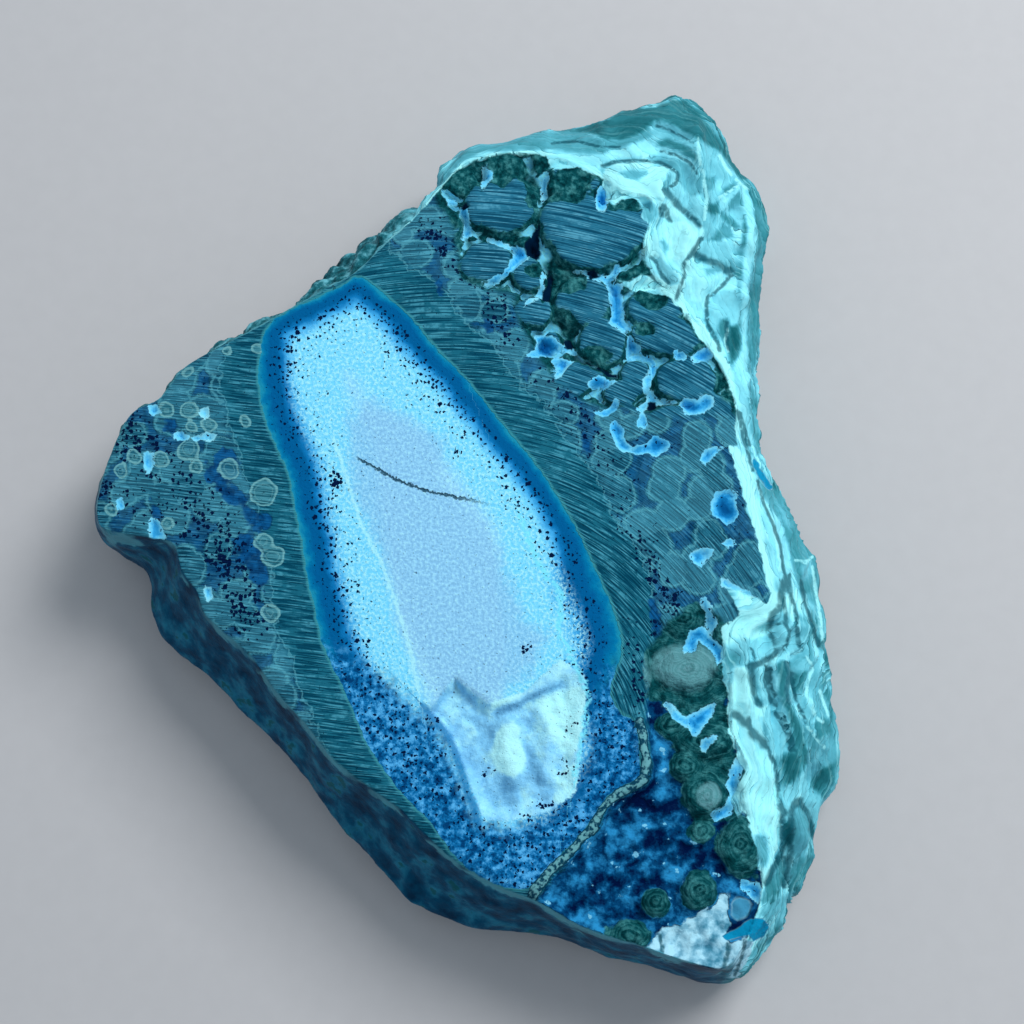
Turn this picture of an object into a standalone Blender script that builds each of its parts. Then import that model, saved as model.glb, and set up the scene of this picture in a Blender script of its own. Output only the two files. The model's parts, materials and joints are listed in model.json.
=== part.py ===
# Malachite and chrysocolla slab: one sawn piece of stone, lying on its sawn underside.
# Metres, +Z up. The origin is under the middle of the piece, on the plane it lies on.
# All values below are millimetres unless a name says otherwise.

import bpy
import math
import numpy as np
from mathutils import Vector, noise

millimetre = 0.001

# Driving dimensions
face_height = 17.0          # the sawn upper face above the sawn underside
rim_drop = 0.35             # how far the worn edge of the face lies below it
matrix_drop = 1.1           # the broken blue stone below the vein, under the face
chip_depth = 1.3            # the shell-shaped chip in the pale core
vein_height = 0.75          # the grey-green vein that stands out of the broken stone
ledge_spacing = 3.7         # one ledge of the banded malachite on the right
ledge_depth = 0.6
facet_depth = 0.9           # the shell-shaped breaks of the banded side
facet_size = 5.5
tumble_depth = 0.45         # roughness of the broken stone
flank_bulge = 1.6           # how far the back flank swells below its widest line
foot_inset = 2.3            # the underside's edge inside the widest line
knob_size = 4.2             # spacing of the knobs on the natural crust
outline_wobble = 0.35       # how far knobs and gaps stray from their plain outlines
triangle_budget = 9400
working_grain = 0.6         # spacing of the mesh that the relief is cut into
flat_within = 0.04          # points of the underside this close to the plane lie on it

# The slab is measured round this point of its upper face
hub = (0.0, 10.0)

# The middle of the finished slab's box, in the coordinates of the outlines below
middle = (-0.5, 5.1)

# Edge of the upper face, anticlockwise from the right: x, y
face_edge = [
    (31.0, 9.0), (30.3, 12.5), (30.5, 15.5), (29.3, 19.5), (27.5, 22.5), (25.5, 26.0),
    (24.0, 28.8), (21.5, 31.5), (20.5, 35.0), (21.5, 38.5), (21.0, 41.0), (18.0, 41.8),
    (15.5, 43.5), (11.0, 45.8), (6.0, 46.6), (2.5, 46.2), (-0.5, 45.0), (-2.5, 43.0),
    (-4.0, 41.0), (-7.0, 37.5), (-10.0, 34.5), (-12.5, 31.8), (-16.0, 29.6), (-20.0, 27.3),
    (-24.0, 24.8), (-28.5, 22.3), (-32.0, 20.0), (-34.5, 16.5), (-37.5, 14.8), (-39.0, 12.0),
    (-40.3, 8.0), (-41.0, 4.0), (-40.5, 1.5), (-38.0, 0.7), (-35.0, 0.2), (-32.3, -0.5),
    (-31.3, -3.5), (-29.5, -6.0), (-28.5, -8.5), (-25.5, -11.2), (-23.0, -13.5), (-20.5, -17.0),
    (-17.0, -20.8), (-14.0, -24.5), (-10.0, -27.5), (-6.5, -30.0), (-3.5, -33.0), (-0.5, -35.5),
    (3.5, -37.8), (8.0, -39.6), (12.0, -41.8), (16.0, -43.3), (19.5, -44.3), (24.0, -45.8),
    (27.5, -46.3), (29.5, -44.0), (31.0, -41.0), (31.8, -37.5), (31.5, -33.5), (30.0, -29.0),
    (30.5, -25.0), (29.0, -21.0), (29.0, -16.0), (28.5, -12.0), (29.8, -9.0), (33.0, -7.8),
    (33.8, -5.5), (33.0, -1.0), (32.3, 3.0),
]

# Widest line of the slab, anticlockwise from the right: x, y, z
widest_line = [
    (34.8, 11.5, 5.0), (34.0, 15.0, 6.0), (33.8, 19.0, 7.0), (33.8, 24.0, 8.0), (34.1, 29.0, 8.0),
    (34.7, 33.0, 8.0), (35.0, 36.0, 8.5), (35.8, 39.0, 8.5), (35.3, 43.0, 9.0), (34.0, 46.0, 9.5),
    (31.8, 49.0, 10.0), (30.3, 52.0, 10.0), (28.5, 55.2, 10.0), (26.0, 56.9, 10.0), (23.5, 56.6, 10.0),
    (20.8, 55.8, 10.5), (18.5, 54.9, 10.5), (16.0, 53.2, 11.0), (13.0, 52.2, 11.0), (9.0, 51.6, 11.0),
    (6.0, 50.8, 11.0), (3.0, 50.0, 11.0), (-0.4, 49.8, 11.0), (-2.0, 48.2, 11.0), (-3.6, 46.4, 11.0),
    (-3.8, 44.4, 11.0), (-5.2, 43.0, 11.5), (-7.5, 41.4, 12.0), (-10.0, 39.4, 12.0), (-12.0, 37.2, 12.0),
    (-14.2, 35.0, 12.0), (-17.5, 32.8, 12.5), (-19.3, 30.4, 13.0), (-22.0, 28.0, 13.5), (-25.2, 26.0, 13.5),
    (-28.8, 23.6, 13.5), (-32.6, 21.4, 13.0), (-35.4, 18.0, 12.0), (-38.6, 16.2, 11.0), (-40.6, 12.8, 10.0),
    (-42.0, 8.6, 9.0), (-42.8, 4.6, 8.0), (-42.2, 2.4, 7.0), (-40.0, 0.8, 6.0), (-37.8, -0.9, 5.5),
    (-36.9, -2.8, 5.0), (-36.9, -4.8, 5.0), (-35.8, -7.3, 5.0), (-34.2, -9.6, 5.0), (-31.8, -11.8, 5.0),
    (-28.8, -14.4, 5.0), (-26.5, -16.6, 5.0), (-22.2, -20.4, 5.0), (-19.6, -23.6, 5.0), (-17.0, -27.0, 5.0),
    (-13.6, -30.6, 5.0), (-11.0, -33.2, 5.0), (-8.6, -36.2, 5.0), (-6.4, -38.6, 5.0), (-3.2, -40.1, 5.0),
    (0.8, -41.3, 5.0), (5.0, -42.0, 5.0), (9.0, -42.3, 5.0), (12.6, -43.4, 5.0), (15.8, -44.6, 5.0),
    (19.2, -45.2, 5.0), (23.0, -46.4, 5.0), (26.0, -47.4, 5.0), (29.4, -47.4, 5.0), (31.4, -46.2, 5.0),
    (33.0, -43.6, 5.0), (34.6, -41.8, 5.0), (36.2, -38.8, 5.0), (37.8, -35.8, 5.0), (39.2, -33.2, 5.0),
    (39.8, -30.0, 5.0), (40.5, -27.4, 5.0), (41.8, -24.2, 5.0), (41.8, -20.0, 5.0), (41.5, -15.0, 5.0),
    (41.2, -10.6, 5.0), (40.9, -6.6, 5.0), (40.3, -3.4, 5.0), (40.2, -0.8, 5.0), (39.0, 1.8, 5.0),
    (37.6, 5.2, 5.0), (36.2, 8.6, 5.0),
]

# Two breaks of the flank between the face edge and the widest line:
# angle round the hub, share of the way out and height of the first, and of the second
flank_breaks = [
    (-64.0, 0.40, 14.0, 0.75, 10.0), (-56.0, 0.40, 14.4, 0.75, 10.0), (-45.0, 0.42, 15.2, 0.76, 11.0),
    (-35.0, 0.40, 15.4, 0.76, 11.0), (-25.0, 0.25, 15.6, 0.72, 10.5), (-15.0, 0.25, 15.4, 0.70, 10.0),
    (0.0, 0.35, 14.6, 0.70, 10.5), (10.0, 0.40, 14.6, 0.70, 10.5), (18.0, 0.35, 15.0, 0.60, 12.0),
    (32.0, 0.15, 16.0, 0.67, 13.0), (41.0, 0.16, 16.2, 0.83, 12.6), (46.0, 0.45, 15.8, 0.83, 12.6),
    (55.0, 0.69, 15.3, 0.86, 13.0), (62.0, 0.60, 15.2, 0.85, 13.0), (72.0, 0.40, 15.4, 0.75, 13.6),
    (90.0, 0.40, 15.4, 0.75, 13.6), (112.0, 0.40, 15.8, 0.75, 14.4), (148.0, 0.40, 16.2, 0.75, 15.2),
    (175.0, 0.40, 15.5, 0.75, 12.5), (190.0, 0.35, 14.0, 0.70, 11.0), (203.0, 0.28, 12.5, 0.62, 8.5),
    (225.0, 0.28, 12.0, 0.62, 8.0), (250.0, 0.28, 12.0, 0.62, 8.0), (270.0, 0.33, 12.0, 0.65, 8.0),
    (285.0, 0.40, 12.0, 0.70, 8.0),
]

# Malachite knobs cut through by the saw at the upper right:
# x, y, half width, half length, turn in degrees
sawn_knobs = [
    (-0.8, 43.2, 1.9, 1.8, 0), (3.9, 40.2, 4.3, 3.8, 0), (4.4, 44.8, 2.4, 1.7, 0),
    (12.4, 43.0, 3.1, 2.3, 0), (12.3, 38.0, 4.1, 4.1, 0), (18.2, 37.6, 3.2, 3.6, 0),
    (14.6, 34.6, 4.6, 2.6, 0), (2.3, 32.8, 3.1, 2.5, 0), (7.3, 31.4, 1.9, 2.1, 0),
    (7.8, 26.8, 2.1, 1.9, 0), (13.4, 28.3, 3.3, 3.2, 0), (15.5, 23.2, 2.9, 2.8, 0),
    (21.8, 27.4, 3.4, 2.5, 0), (23.0, 23.8, 4.4, 2.3, -6), (12.8, 18.8, 3.4, 2.0, 20),
    (19.2, 18.8, 1.9, 2.2, 0), (25.0, 18.6, 3.6, 2.8, -10), (17.6, 17.0, 2.0, 1.6, 0),
    (-3.0, 37.6, 2.4, 2.2, 0), (27.8, 13.8, 2.8, 3.2, 0), (23.2, 13.0, 3.2, 2.7, 0),
    (18.6, 13.4, 2.4, 2.0, 0), (9.8, 23.4, 1.5, 1.0, 0),
]
knob_swell = 1.07           # the knobs press against each other
sawn_cap = 1.1              # how much of each knob the saw took off
groove_depth = 1.5          # the grooves round them, under the face

# Outline of the stretch where the grooves are open
open_grooves = [
    (-4.5, 42.0), (-1.6, 36.6), (-0.8, 31.0), (2.0, 29.4), (5.4, 28.8), (5.8, 25.4),
    (8.0, 21.4), (10.4, 18.0), (14.0, 15.6), (19.0, 14.6), (24.0, 14.0), (31.0, 14.5),
    (32.0, 22.0), (27.0, 31.0), (23.0, 43.0), (16.0, 45.5), (8.0, 47.5), (-1.0, 47.0),
]

# Deep gaps between the knobs: path, width, depth
gaps = [
    ([(7.2, 36.6), (7.9, 35.6), (8.6, 34.2)], 1.3, 3.2),
    ([(9.7, 31.6), (9.4, 30.2), (9.0, 28.8)], 0.9, 2.4),
    ([(9.8, 26.4), (11.2, 24.2), (12.8, 22.0), (15.4, 20.4), (17.8, 19.4)], 1.7, 3.4),
    ([(14.2, 31.6), (15.6, 31.4)], 0.9, 1.8),
    ([(20.2, 21.8), (20.9, 19.6), (20.4, 16.6)], 0.8, 1.5),
    ([(15.4, 43.4), (15.6, 41.0), (16.0, 39.8)], 1.2, 1.5),
    ([(24.4, 15.6), (26.0, 15.0), (27.4, 16.0)], 0.8, 0.9),
    ([(25.8, 9.0), (27.0, 10.0), (29.2, 9.8)], 0.8, 0.9),
    ([(28.0, -4.0), (30.0, -5.6), (32.4, -7.2)], 0.9, 1.1),
    ([(25.0, -7.0), (26.6, -8.4), (26.2, -10.6), (27.4, -12.6), (24.6, -12.0)], 1.1, 1.4),
    ([(21.6, -19.2), (24.0, -19.8), (26.4, -19.0)], 1.2, 1.9),
    ([(22.4, -22.0), (23.4, -23.4)], 1.1, 1.9),
    ([(28.2, -30.2), (28.6, -27.6), (29.6, -25.6)], 1.2, 1.9),
]

# Rounded knobs that stand up in the broken lower right: x, y, half width, half length, height
knobs = [
    (28.6, -7.4, 2.2, 1.9, 0.9), (24.0, -9.0, 2.4, 1.9, 0.8), (28.6, -10.6, 1.5, 1.5, 0.8),
    (24.4, -14.6, 3.6, 2.5, 1.2), (18.2, -14.4, 1.9, 2.3, 0.7), (17.6, -17.8, 1.6, 1.9, 0.7),
    (28.2, -14.6, 1.4, 1.4, 0.9), (22.6, -20.6, 1.9, 1.7, 1.2), (26.0, -22.4, 3.4, 1.9, 1.5),
    (23.8, -25.2, 1.9, 1.6, 1.3), (26.0, -28.4, 2.5, 2.4, 1.7), (29.6, -33.6, 2.4, 3.1, 1.9),
    (25.0, -38.4, 2.0, 2.1, 1.6), (20.4, -39.6, 1.7, 1.7, 1.3), (17.6, -43.0, 2.2, 1.7, 1.0),
    (25.4, -32.2, 1.6, 1.4, 0.9), (30.8, -26.8, 1.5, 1.3, 1.2), (31.6, -2.6, 1.7, 3.0, 0.3),
]

# Crests and creases of the banded side: path, height, half width
folds = [
    ([(26.9, 52.0), (26.7, 48.0), (27.3, 44.0), (27.3, 40.0), (25.8, 34.5), (24.4, 30.0)], 0.7, 1.5),
    ([(29.0, 46.5), (31.5, 43.0), (32.5, 41.0), (33.0, 38.0), (32.3, 34.0), (32.0, 30.0)], 0.6, 1.3),
    ([(32.0, 30.0), (31.8, 25.0), (31.5, 20.5), (31.2, 15.0)], 0.5, 1.2),
    ([(26.0, 33.7), (28.0, 33.0), (29.9, 31.9), (28.3, 29.5), (27.6, 27.6), (28.4, 24.0)], -0.6, 1.0),
    ([(27.4, 41.5), (29.4, 40.0), (31.6, 40.6)], -0.5, 1.0),
    ([(28.0, 38.0), (30.4, 36.4), (32.4, 36.6)], 0.5, 1.1),
    ([(22.0, 46.4), (25.0, 45.2), (26.6, 42.0), (25.2, 39.4)], -0.5, 0.9),
    ([(36.0, -10.0), (36.4, -15.0), (37.6, -20.0), (38.2, -26.0)], -0.7, 1.3),
    ([(33.2, -10.0), (33.0, -14.0), (34.2, -19.0), (34.6, -25.0), (34.4, -30.0), (34.8, -36.0)], -0.8, 1.1),
    ([(34.8, -9.0), (34.9, -14.0), (36.0, -20.0), (36.4, -27.0), (36.6, -32.0)], 0.6, 1.4),
    ([(29.0, -14.4), (31.0, -15.2), (33.6, -13.0), (36.0, -9.6), (39.0, -8.6)], 0.6, 1.1),
]

# Outline of the broken lower right corner, which lies below the face
broken_corner = [
    (19.6, -12.5), (19.9, -20.6), (20.2, -25.0), (19.6, -27.2), (16.0, -29.2), (14.0, -32.4),
    (10.8, -35.8), (8.0, -39.0), (12.0, -43.5), (20.0, -46.0), (29.0, -49.0), (33.0, -42.0),
    (33.5, -30.0), (31.5, -20.0), (31.0, -11.5), (25.5, -6.8), (22.0, -10.0),
]

# The vein that borders it
vein_path = [
    (19.0, -20.5), (19.3, -22.5), (19.6, -25.0), (19.2, -26.8), (17.4, -27.8), (15.7, -28.9),
    (14.5, -30.4), (13.5, -32.1), (12.0, -33.8), (10.4, -35.4), (9.0, -36.7), (8.0, -38.0), (7.3, -39.2),
]
vein_width = 1.3

# The shell-shaped chip in the lower half of the core, and the humps left standing in it
chip_outline = [
    (-4.2, -19.6), (-1.2, -15.4), (2.6, -18.3), (6.6, -17.0), (10.4, -13.4), (13.3, -15.4),
    (13.4, -18.0), (12.8, -23.0), (12.2, -28.2), (9.0, -30.4), (5.0, -31.3), (2.0, -31.0),
    (0.9, -28.2), (-0.6, -24.4), (-2.2, -20.8),
]
chip_humps = [
    ([(4.6, -20.8), (4.4, -23.4), (5.6, -26.2)], 2.4, 0.8),
    ([(3.2, -18.6), (6.2, -18.0), (8.8, -16.4), (10.8, -14.6)], 1.6, 0.5),
    ([(8.2, -19.6), (9.4, -22.4), (8.6, -25.8)], 1.8, 0.5),
]


def closed_curve(points, steps=10):
    """Catmull-Rom curve through hand-chosen points, closed."""
    p = np.array(points, float)
    a, b, c, d = np.roll(p, 1, 0), p, np.roll(p, -1, 0), np.roll(p, -2, 0)
    out = []
    for k in range(steps):
        t = k / steps
        out.append(0.5 * (2 * b + (c - a) * t + (2 * a - 5 * b + 4 * c - d) * t ** 2
                          + (3 * b - a - 3 * c + d) * t ** 3))
    return np.stack(out, 1).reshape(-1, p.shape[1])


def polar(points, angles):
    """Radius round the hub, and height if given, of a closed outline at each angle."""
    curve = closed_curve(points)
    dx = curve[:, 0] - hub[0]
    dy = curve[:, 1] - hub[1]
    turn = np.arctan2(dy, dx)
    order = np.argsort(turn)
    radius = np.interp(angles, turn[order], np.hypot(dx, dy)[order], period=2 * math.pi)
    if curve.shape[1] < 3:
        return radius
    return radius, np.interp(angles, turn[order], curve[order, 2], period=2 * math.pi)


def smooth_step(low, high, value):
    t = np.clip((value - low) / (high - low), 0.0, 1.0)
    return t * t * (3.0 - 2.0 * t)


def path_distance(x, y, path):
    """Distance from each x, y to an open path."""
    best = np.full(np.shape(x), 1e9)
    for (ax, ay), (bx, by) in zip(path[:-1], path[1:]):
        ux, uy = bx - ax, by - ay
        t = np.clip(((x - ax) * ux + (y - ay) * uy) / (ux * ux + uy * uy), 0.0, 1.0)
        best = np.minimum(best, np.hypot(x - ax - t * ux, y - ay - t * uy))
    return best


def inside_depth(x, y, outline):
    """Distance inside a closed outline, negative outside it."""
    inside = np.zeros(np.shape(x), bool)
    for (ax, ay), (bx, by) in zip(outline, outline[1:] + outline[:1]):
        if ay != by:
            crosses = ((ay > y) != (by > y)) & (x < (bx - ax) * (y - ay) / (by - ay) + ax)
            inside ^= crosses
    distance = path_distance(x, y, outline + outline[:1])
    return np.where(inside, distance, -distance)


def roughness(points, size, seed, octaves=2):
    """Smooth noise of about -1 to 1 at each point, with bumps of the given size."""
    shift = Vector((seed * 17.3, seed * 5.9, seed * 11.1))
    return np.array([noise.fractal(Vector(p) / size + shift, 0.9, 2.0, octaves) for p in points])


def crust(points, size, seed):
    """Packed round knobs, 1 at their tops and 0 in the grooves between them."""
    shift = Vector((seed * 7.7, seed * 3.1, seed * 9.2))
    out = []
    for p in points:
        near = noise.voronoi(Vector(p) / size + shift)[0]
        out.append(min(1.0, 1.6 * (near[1] - near[0])) - 0.5 * near[0])
    return np.array(out)


def face_relief(points):
    """Height of the upper face's relief against its sawn plane."""
    x = points[:, 0] + outline_wobble * roughness(points, 2.2, 11)
    y = points[:, 1] + outline_wobble * roughness(points, 2.2, 12)
    grooved = smooth_step(-0.6, 1.2, inside_depth(x, y, open_grooves))
    floor = groove_depth * (0.8 + 0.35 * roughness(points, 3.5, 13))
    domes = -floor
    for cx, cy, half_width, half_length, turn in sawn_knobs:
        cos, sin = math.cos(math.radians(turn)), math.sin(math.radians(turn))
        u = ((x - cx) * cos + (y - cy) * sin) / (half_width * knob_swell)
        v = ((y - cy) * cos - (x - cx) * sin) / (half_length * knob_swell)
        dome = -floor + (floor + sawn_cap) * np.sqrt(np.clip(1.0 - u * u - v * v, 0.0, 1.0))
        domes = np.maximum(domes, dome)
    z = grooved * np.minimum(domes, 0.0)

    corner = smooth_step(-0.6, 1.6, inside_depth(x, y, broken_corner))
    z -= matrix_drop * corner
    for cx, cy, half_width, half_length, height in knobs:
        r = np.hypot((x - cx) / half_width, (y - cy) / half_length)
        z += height * np.sqrt(np.clip(1.0 - r * r, 0.0, 1.0))
    for path, width, depth in gaps:
        gap = -depth * (1.0 - smooth_step(0.2 * width, 1.1 * width, path_distance(x, y, path)))
        z = np.where(gap < 0.0, np.minimum(z, gap), z)

    vein = 1.0 - smooth_step(0.3 * vein_width, 0.8 * vein_width, path_distance(x, y, vein_path))
    z += vein_height * vein
    inside = inside_depth(x, y, chip_outline)
    lean = np.clip((9.0 - x) / 10.0, 0.0, 1.0)
    z -= chip_depth * smooth_step(-0.1, 2.6 - 1.9 * lean, inside) * (0.45 + 0.55 * lean)
    for path, width, height in chip_humps:
        hump = 1.0 - smooth_step(0.0, width, path_distance(x, y, path))
        z += height * hump * smooth_step(0.0, 1.0, inside)
    return z


def blank_mesh():
    """The slab's body without its relief: rings round the hub, from the face to the underside."""
    turns = 360
    angles = np.arange(turns) * 2 * math.pi / turns
    edge_r = polar(face_edge, angles)
    wide_r, wide_z = polar(widest_line, angles)
    breaks = np.array(flank_breaks)
    first_share, first_z, second_share, second_z = (
        np.interp(np.degrees(angles), breaks[:, 0], breaks[:, k], period=360) for k in (1, 2, 3, 4))
    edge_z = face_height - rim_drop
    unit = np.stack([np.cos(angles), np.sin(angles)], 1)
    rings = []

    def add_ring(radius, height):
        xy = np.array(hub) + unit * radius[:, None]
        rings.append(np.column_stack([xy, np.broadcast_to(height, turns)]))

    # The upper side, from the hub out to its worn edge
    for share in (0.25, 0.5, 0.75, 0.9, 0.975):
        add_ring(edge_r * share, face_height)
    add_ring(edge_r, edge_z)

    # The flank, out and down to the widest line
    flank_steps = 14
    for k in range(1, flank_steps + 1):
        share = k / flank_steps
        height = [np.interp(share, [0.0, first_share[i], second_share[i], 1.0],
                            [edge_z, first_z[i], second_z[i], wide_z[i]]) for i in range(turns)]
        add_ring(edge_r + (wide_r - edge_r) * share, np.array(height))

    # Below the widest line the stone curves in to its sawn underside
    under_steps = 8
    high = smooth_step(7.0, 12.0, wide_z)
    inset = foot_inset * (0.75 + 0.25 * np.sin(5 * angles + 1.0)) * (1.0 - 0.5 * high)
    for k in range(1, under_steps + 1):
        share = k / under_steps
        out = flank_bulge * high * math.sin(math.pi * share) - inset * share ** 2
        add_ring(wide_r + out, wide_z * (1.0 - share))
    for share in (0.75, 0.5, 0.25):
        add_ring((wide_r - inset) * share, 0.0)

    points = np.vstack([[[*hub, face_height]], *rings, [[*hub, 0.0]]])
    count = len(rings)
    under_centre = 1 + count * turns
    faces = []
    for i in range(turns):
        j = (i + 1) % turns
        faces.append((0, 1 + i, 1 + j))
        faces.append((under_centre, under_centre - turns + j, under_centre - turns + i))
        for k in range(count - 1):
            a = 1 + k * turns
            faces.append((a + i, a + turns + i, a + turns + j, a + j))
    mesh = bpy.data.meshes.new("blank")
    mesh.from_pydata([tuple(q * millimetre) for q in points], [], faces)
    mesh.update()
    return mesh


def evaluated(slab):
    """A fresh mesh of the object as its modifiers leave it."""
    bpy.context.view_layer.update()
    return bpy.data.meshes.new_from_object(slab.evaluated_get(bpy.context.evaluated_depsgraph_get()))


def carve(mesh):
    """Cut the relief into an evenly meshed blank."""
    count = len(mesh.vertices)
    points = np.empty(count * 3)
    normals = np.empty(count * 3)
    mesh.vertices.foreach_get("co", points)
    mesh.vertices.foreach_get("normal", normals)
    points = points.reshape(-1, 3) / millimetre
    normals = normals.reshape(-1, 3)
    dx = points[:, 0] - hub[0]
    dy = points[:, 1] - hub[1]
    turn = np.arctan2(dy, dx)
    degrees = np.degrees(turn)
    out = np.hypot(dx, dy) - polar(face_edge, turn)

    # The face, with its relief fading at the worn edge
    on_face = (out < 0.0) & (points[:, 2] > 0.75 * face_height)
    p = points[on_face]
    fade = smooth_step(0.0, -1.2, out[on_face])
    tumbled = smooth_step(-0.5, 2.5, inside_depth(p[:, 0], p[:, 1], broken_corner))
    relief = face_relief(p) + tumbled * tumble_depth * roughness(p, 2.6, 3)
    points[on_face, 2] = face_height - rim_drop * (1.0 - fade) + relief * (0.4 + 0.6 * fade)

    # The right side breaks off in ledges along its bands, the rest of the flank is natural crust
    flank = (out >= 0.0) & (points[:, 2] > 0.05)
    p = points[flank]
    side = degrees[flank]
    reach = out[flank]
    banded = smooth_step(-66.0, -60.0, side) * smooth_step(88.0, 74.0, side)
    level = (face_height - p[:, 2] + reach) / ledge_spacing + 0.6 * roughness(p * [1.0, 0.8, 0.8], 6.0, 5)
    along = level - np.floor(level)
    tread = np.where(along < 0.8, along / 0.4 - 1.0, (0.9 - along) / 0.1)
    broken_off = np.clip(0.75 + 0.7 * roughness(p, 9.0, 9), 0.25, 1.3)
    ledge = ledge_depth * broken_off * tread * banded * (1.0 - 0.7 * smooth_step(24.0, 34.0, side))
    facets = facet_depth * (0.3 - np.abs(roughness(p, facet_size, 15))) * banded
    for path, height, half_width in folds:
        near = np.clip(1.0 - path_distance(p[:, 0], p[:, 1], path) / half_width, 0.0, 1.0)
        facets += height * near
    behind = np.clip(smooth_step(84.0, 100.0, side) + smooth_step(-176.0, -180.0, side), 0.0, 1.0)
    knobbly = 0.9 * (crust(p, knob_size, 2) - 0.5) * behind
    rolling = 0.5 * roughness(p, 8.0, 7, 3) * (1.0 - 0.5 * banded)
    fade = smooth_step(0.0, 1.0, reach) * smooth_step(0.0, 2.5, p[:, 2])
    amount = (ledge + facets + knobbly + rolling) * fade
    points[flank] += normals[flank] * amount[:, None]

    points[points[:, 2] < flat_within, 2] = 0.0
    mesh.vertices.foreach_set("co", (points * millimetre).ravel())
    mesh.update()


def settle(mesh):
    """Bring the slab's middle over the origin and lay its underside exactly on the plane z = 0."""
    shift = Vector((middle[0], middle[1], 0.0)) * millimetre
    for vertex in mesh.vertices:
        vertex.co -= shift
        if vertex.co.z < flat_within * millimetre:
            vertex.co.z = 0.0


def stone():
    material = bpy.data.materials.new("malachite_chrysocolla")
    material.use_nodes = True
    shader = material.node_tree.nodes["Principled BSDF"]
    shader.inputs["Base Color"].default_value = (0.05, 0.30, 0.33, 1.0)
    shader.inputs["Roughness"].default_value = 0.5
    shader.inputs["Metallic"].default_value = 0.0
    material.diffuse_color = (0.05, 0.30, 0.33, 1.0)
    return material


def main():
    for old in list(bpy.data.objects):
        bpy.data.objects.remove(old, do_unlink=True)

    slab = bpy.data.objects.new("slab", blank_mesh())
    bpy.context.scene.collection.objects.link(slab)
    even = slab.modifiers.new("even", "REMESH")
    even.mode = "VOXEL"
    even.voxel_size = working_grain * millimetre
    slab.data = evaluated(slab)
    slab.modifiers.clear()
    carve(slab.data)
    full = sum(len(face.vertices) - 2 for face in slab.data.polygons)
    thin = slab.modifiers.new("thin", "DECIMATE")
    thin.ratio = triangle_budget / full
    thin.use_collapse_triangulate = True
    finished = evaluated(slab)
    slab.modifiers.clear()
    slab.data = finished
    settle(finished)
    finished.materials.append(stone())
    finished.shade_smooth()
    finished.set_sharp_from_angle(angle=math.radians(50))
    print("slab", len(finished.polygons), "triangles")


main()
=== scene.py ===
import json
import math

import bpy
import numpy as np
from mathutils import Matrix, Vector, noise

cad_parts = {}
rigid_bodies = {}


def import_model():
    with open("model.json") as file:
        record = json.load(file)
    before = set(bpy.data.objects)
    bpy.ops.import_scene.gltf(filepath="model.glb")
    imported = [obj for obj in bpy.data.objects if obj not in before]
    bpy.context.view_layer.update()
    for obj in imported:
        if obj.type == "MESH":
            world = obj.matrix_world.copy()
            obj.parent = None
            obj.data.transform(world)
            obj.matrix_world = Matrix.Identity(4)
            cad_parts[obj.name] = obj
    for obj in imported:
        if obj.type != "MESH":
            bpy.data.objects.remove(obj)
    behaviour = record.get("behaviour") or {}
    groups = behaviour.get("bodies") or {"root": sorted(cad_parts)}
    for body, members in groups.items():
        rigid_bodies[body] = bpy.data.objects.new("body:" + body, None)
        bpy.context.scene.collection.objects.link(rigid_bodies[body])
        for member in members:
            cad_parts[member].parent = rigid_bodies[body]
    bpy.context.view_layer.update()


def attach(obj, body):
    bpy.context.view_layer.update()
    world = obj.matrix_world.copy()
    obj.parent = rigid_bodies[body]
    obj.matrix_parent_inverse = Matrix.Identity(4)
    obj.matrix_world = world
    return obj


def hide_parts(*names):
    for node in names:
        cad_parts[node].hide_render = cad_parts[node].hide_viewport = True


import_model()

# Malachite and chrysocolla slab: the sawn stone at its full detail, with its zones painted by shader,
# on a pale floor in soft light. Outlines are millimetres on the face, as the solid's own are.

mm = 0.001

slab = {
    "faceHeight": 17.0,
    "rimDrop": 0.35,            # how far the worn edge lies below the face
    "matrixDrop": 1.1,          # the broken blue stone below the vein
    "chipDepth": 1.3,
    "veinHeight": 0.75,
    "veinWidth": 1.3,
    "ledgeSpacing": 3.7,
    "ledgeDepth": 0.6,
    "facetDepth": 0.9,          # shell-shaped breaks of the banded side
    "facetSize": 5.5,
    "fineLedge": 0.62,          # one thin layer of the banded side
    "fineDepth": 0.1,
    "tumbleDepth": 0.45,
    "flankBulge": 1.6,
    "footInset": 2.3,
    "knobSize": 4.2,
    "wobble": 0.35,             # how far knobs and gaps stray from their plain outlines
    "knobSwell": 1.07,          # the knobs press against each other
    "sawnCap": 1.1,             # how much of each knob the saw took off
    "grooveDepth": 1.5,
    "fillDrop": 0.3,            # small lumps that fill the wider grooves, below the face
    "poolDrop": 0.45,
    "pitDepth": 3.0,
    "creaseDepth": 0.3,
    "grain": 0.37,              # spacing of the finished mesh
    "underShare": 0.03,         # share of the flat underside's faces that is kept
    "turns": 360,
}
hub = (0.0, 10.0)
middle = (-0.5, 5.1)            # this point of the face lies over the origin
lookFrom = (5.2, -54.3, 230.7)  # the marks were drawn as they are seen from here

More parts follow.
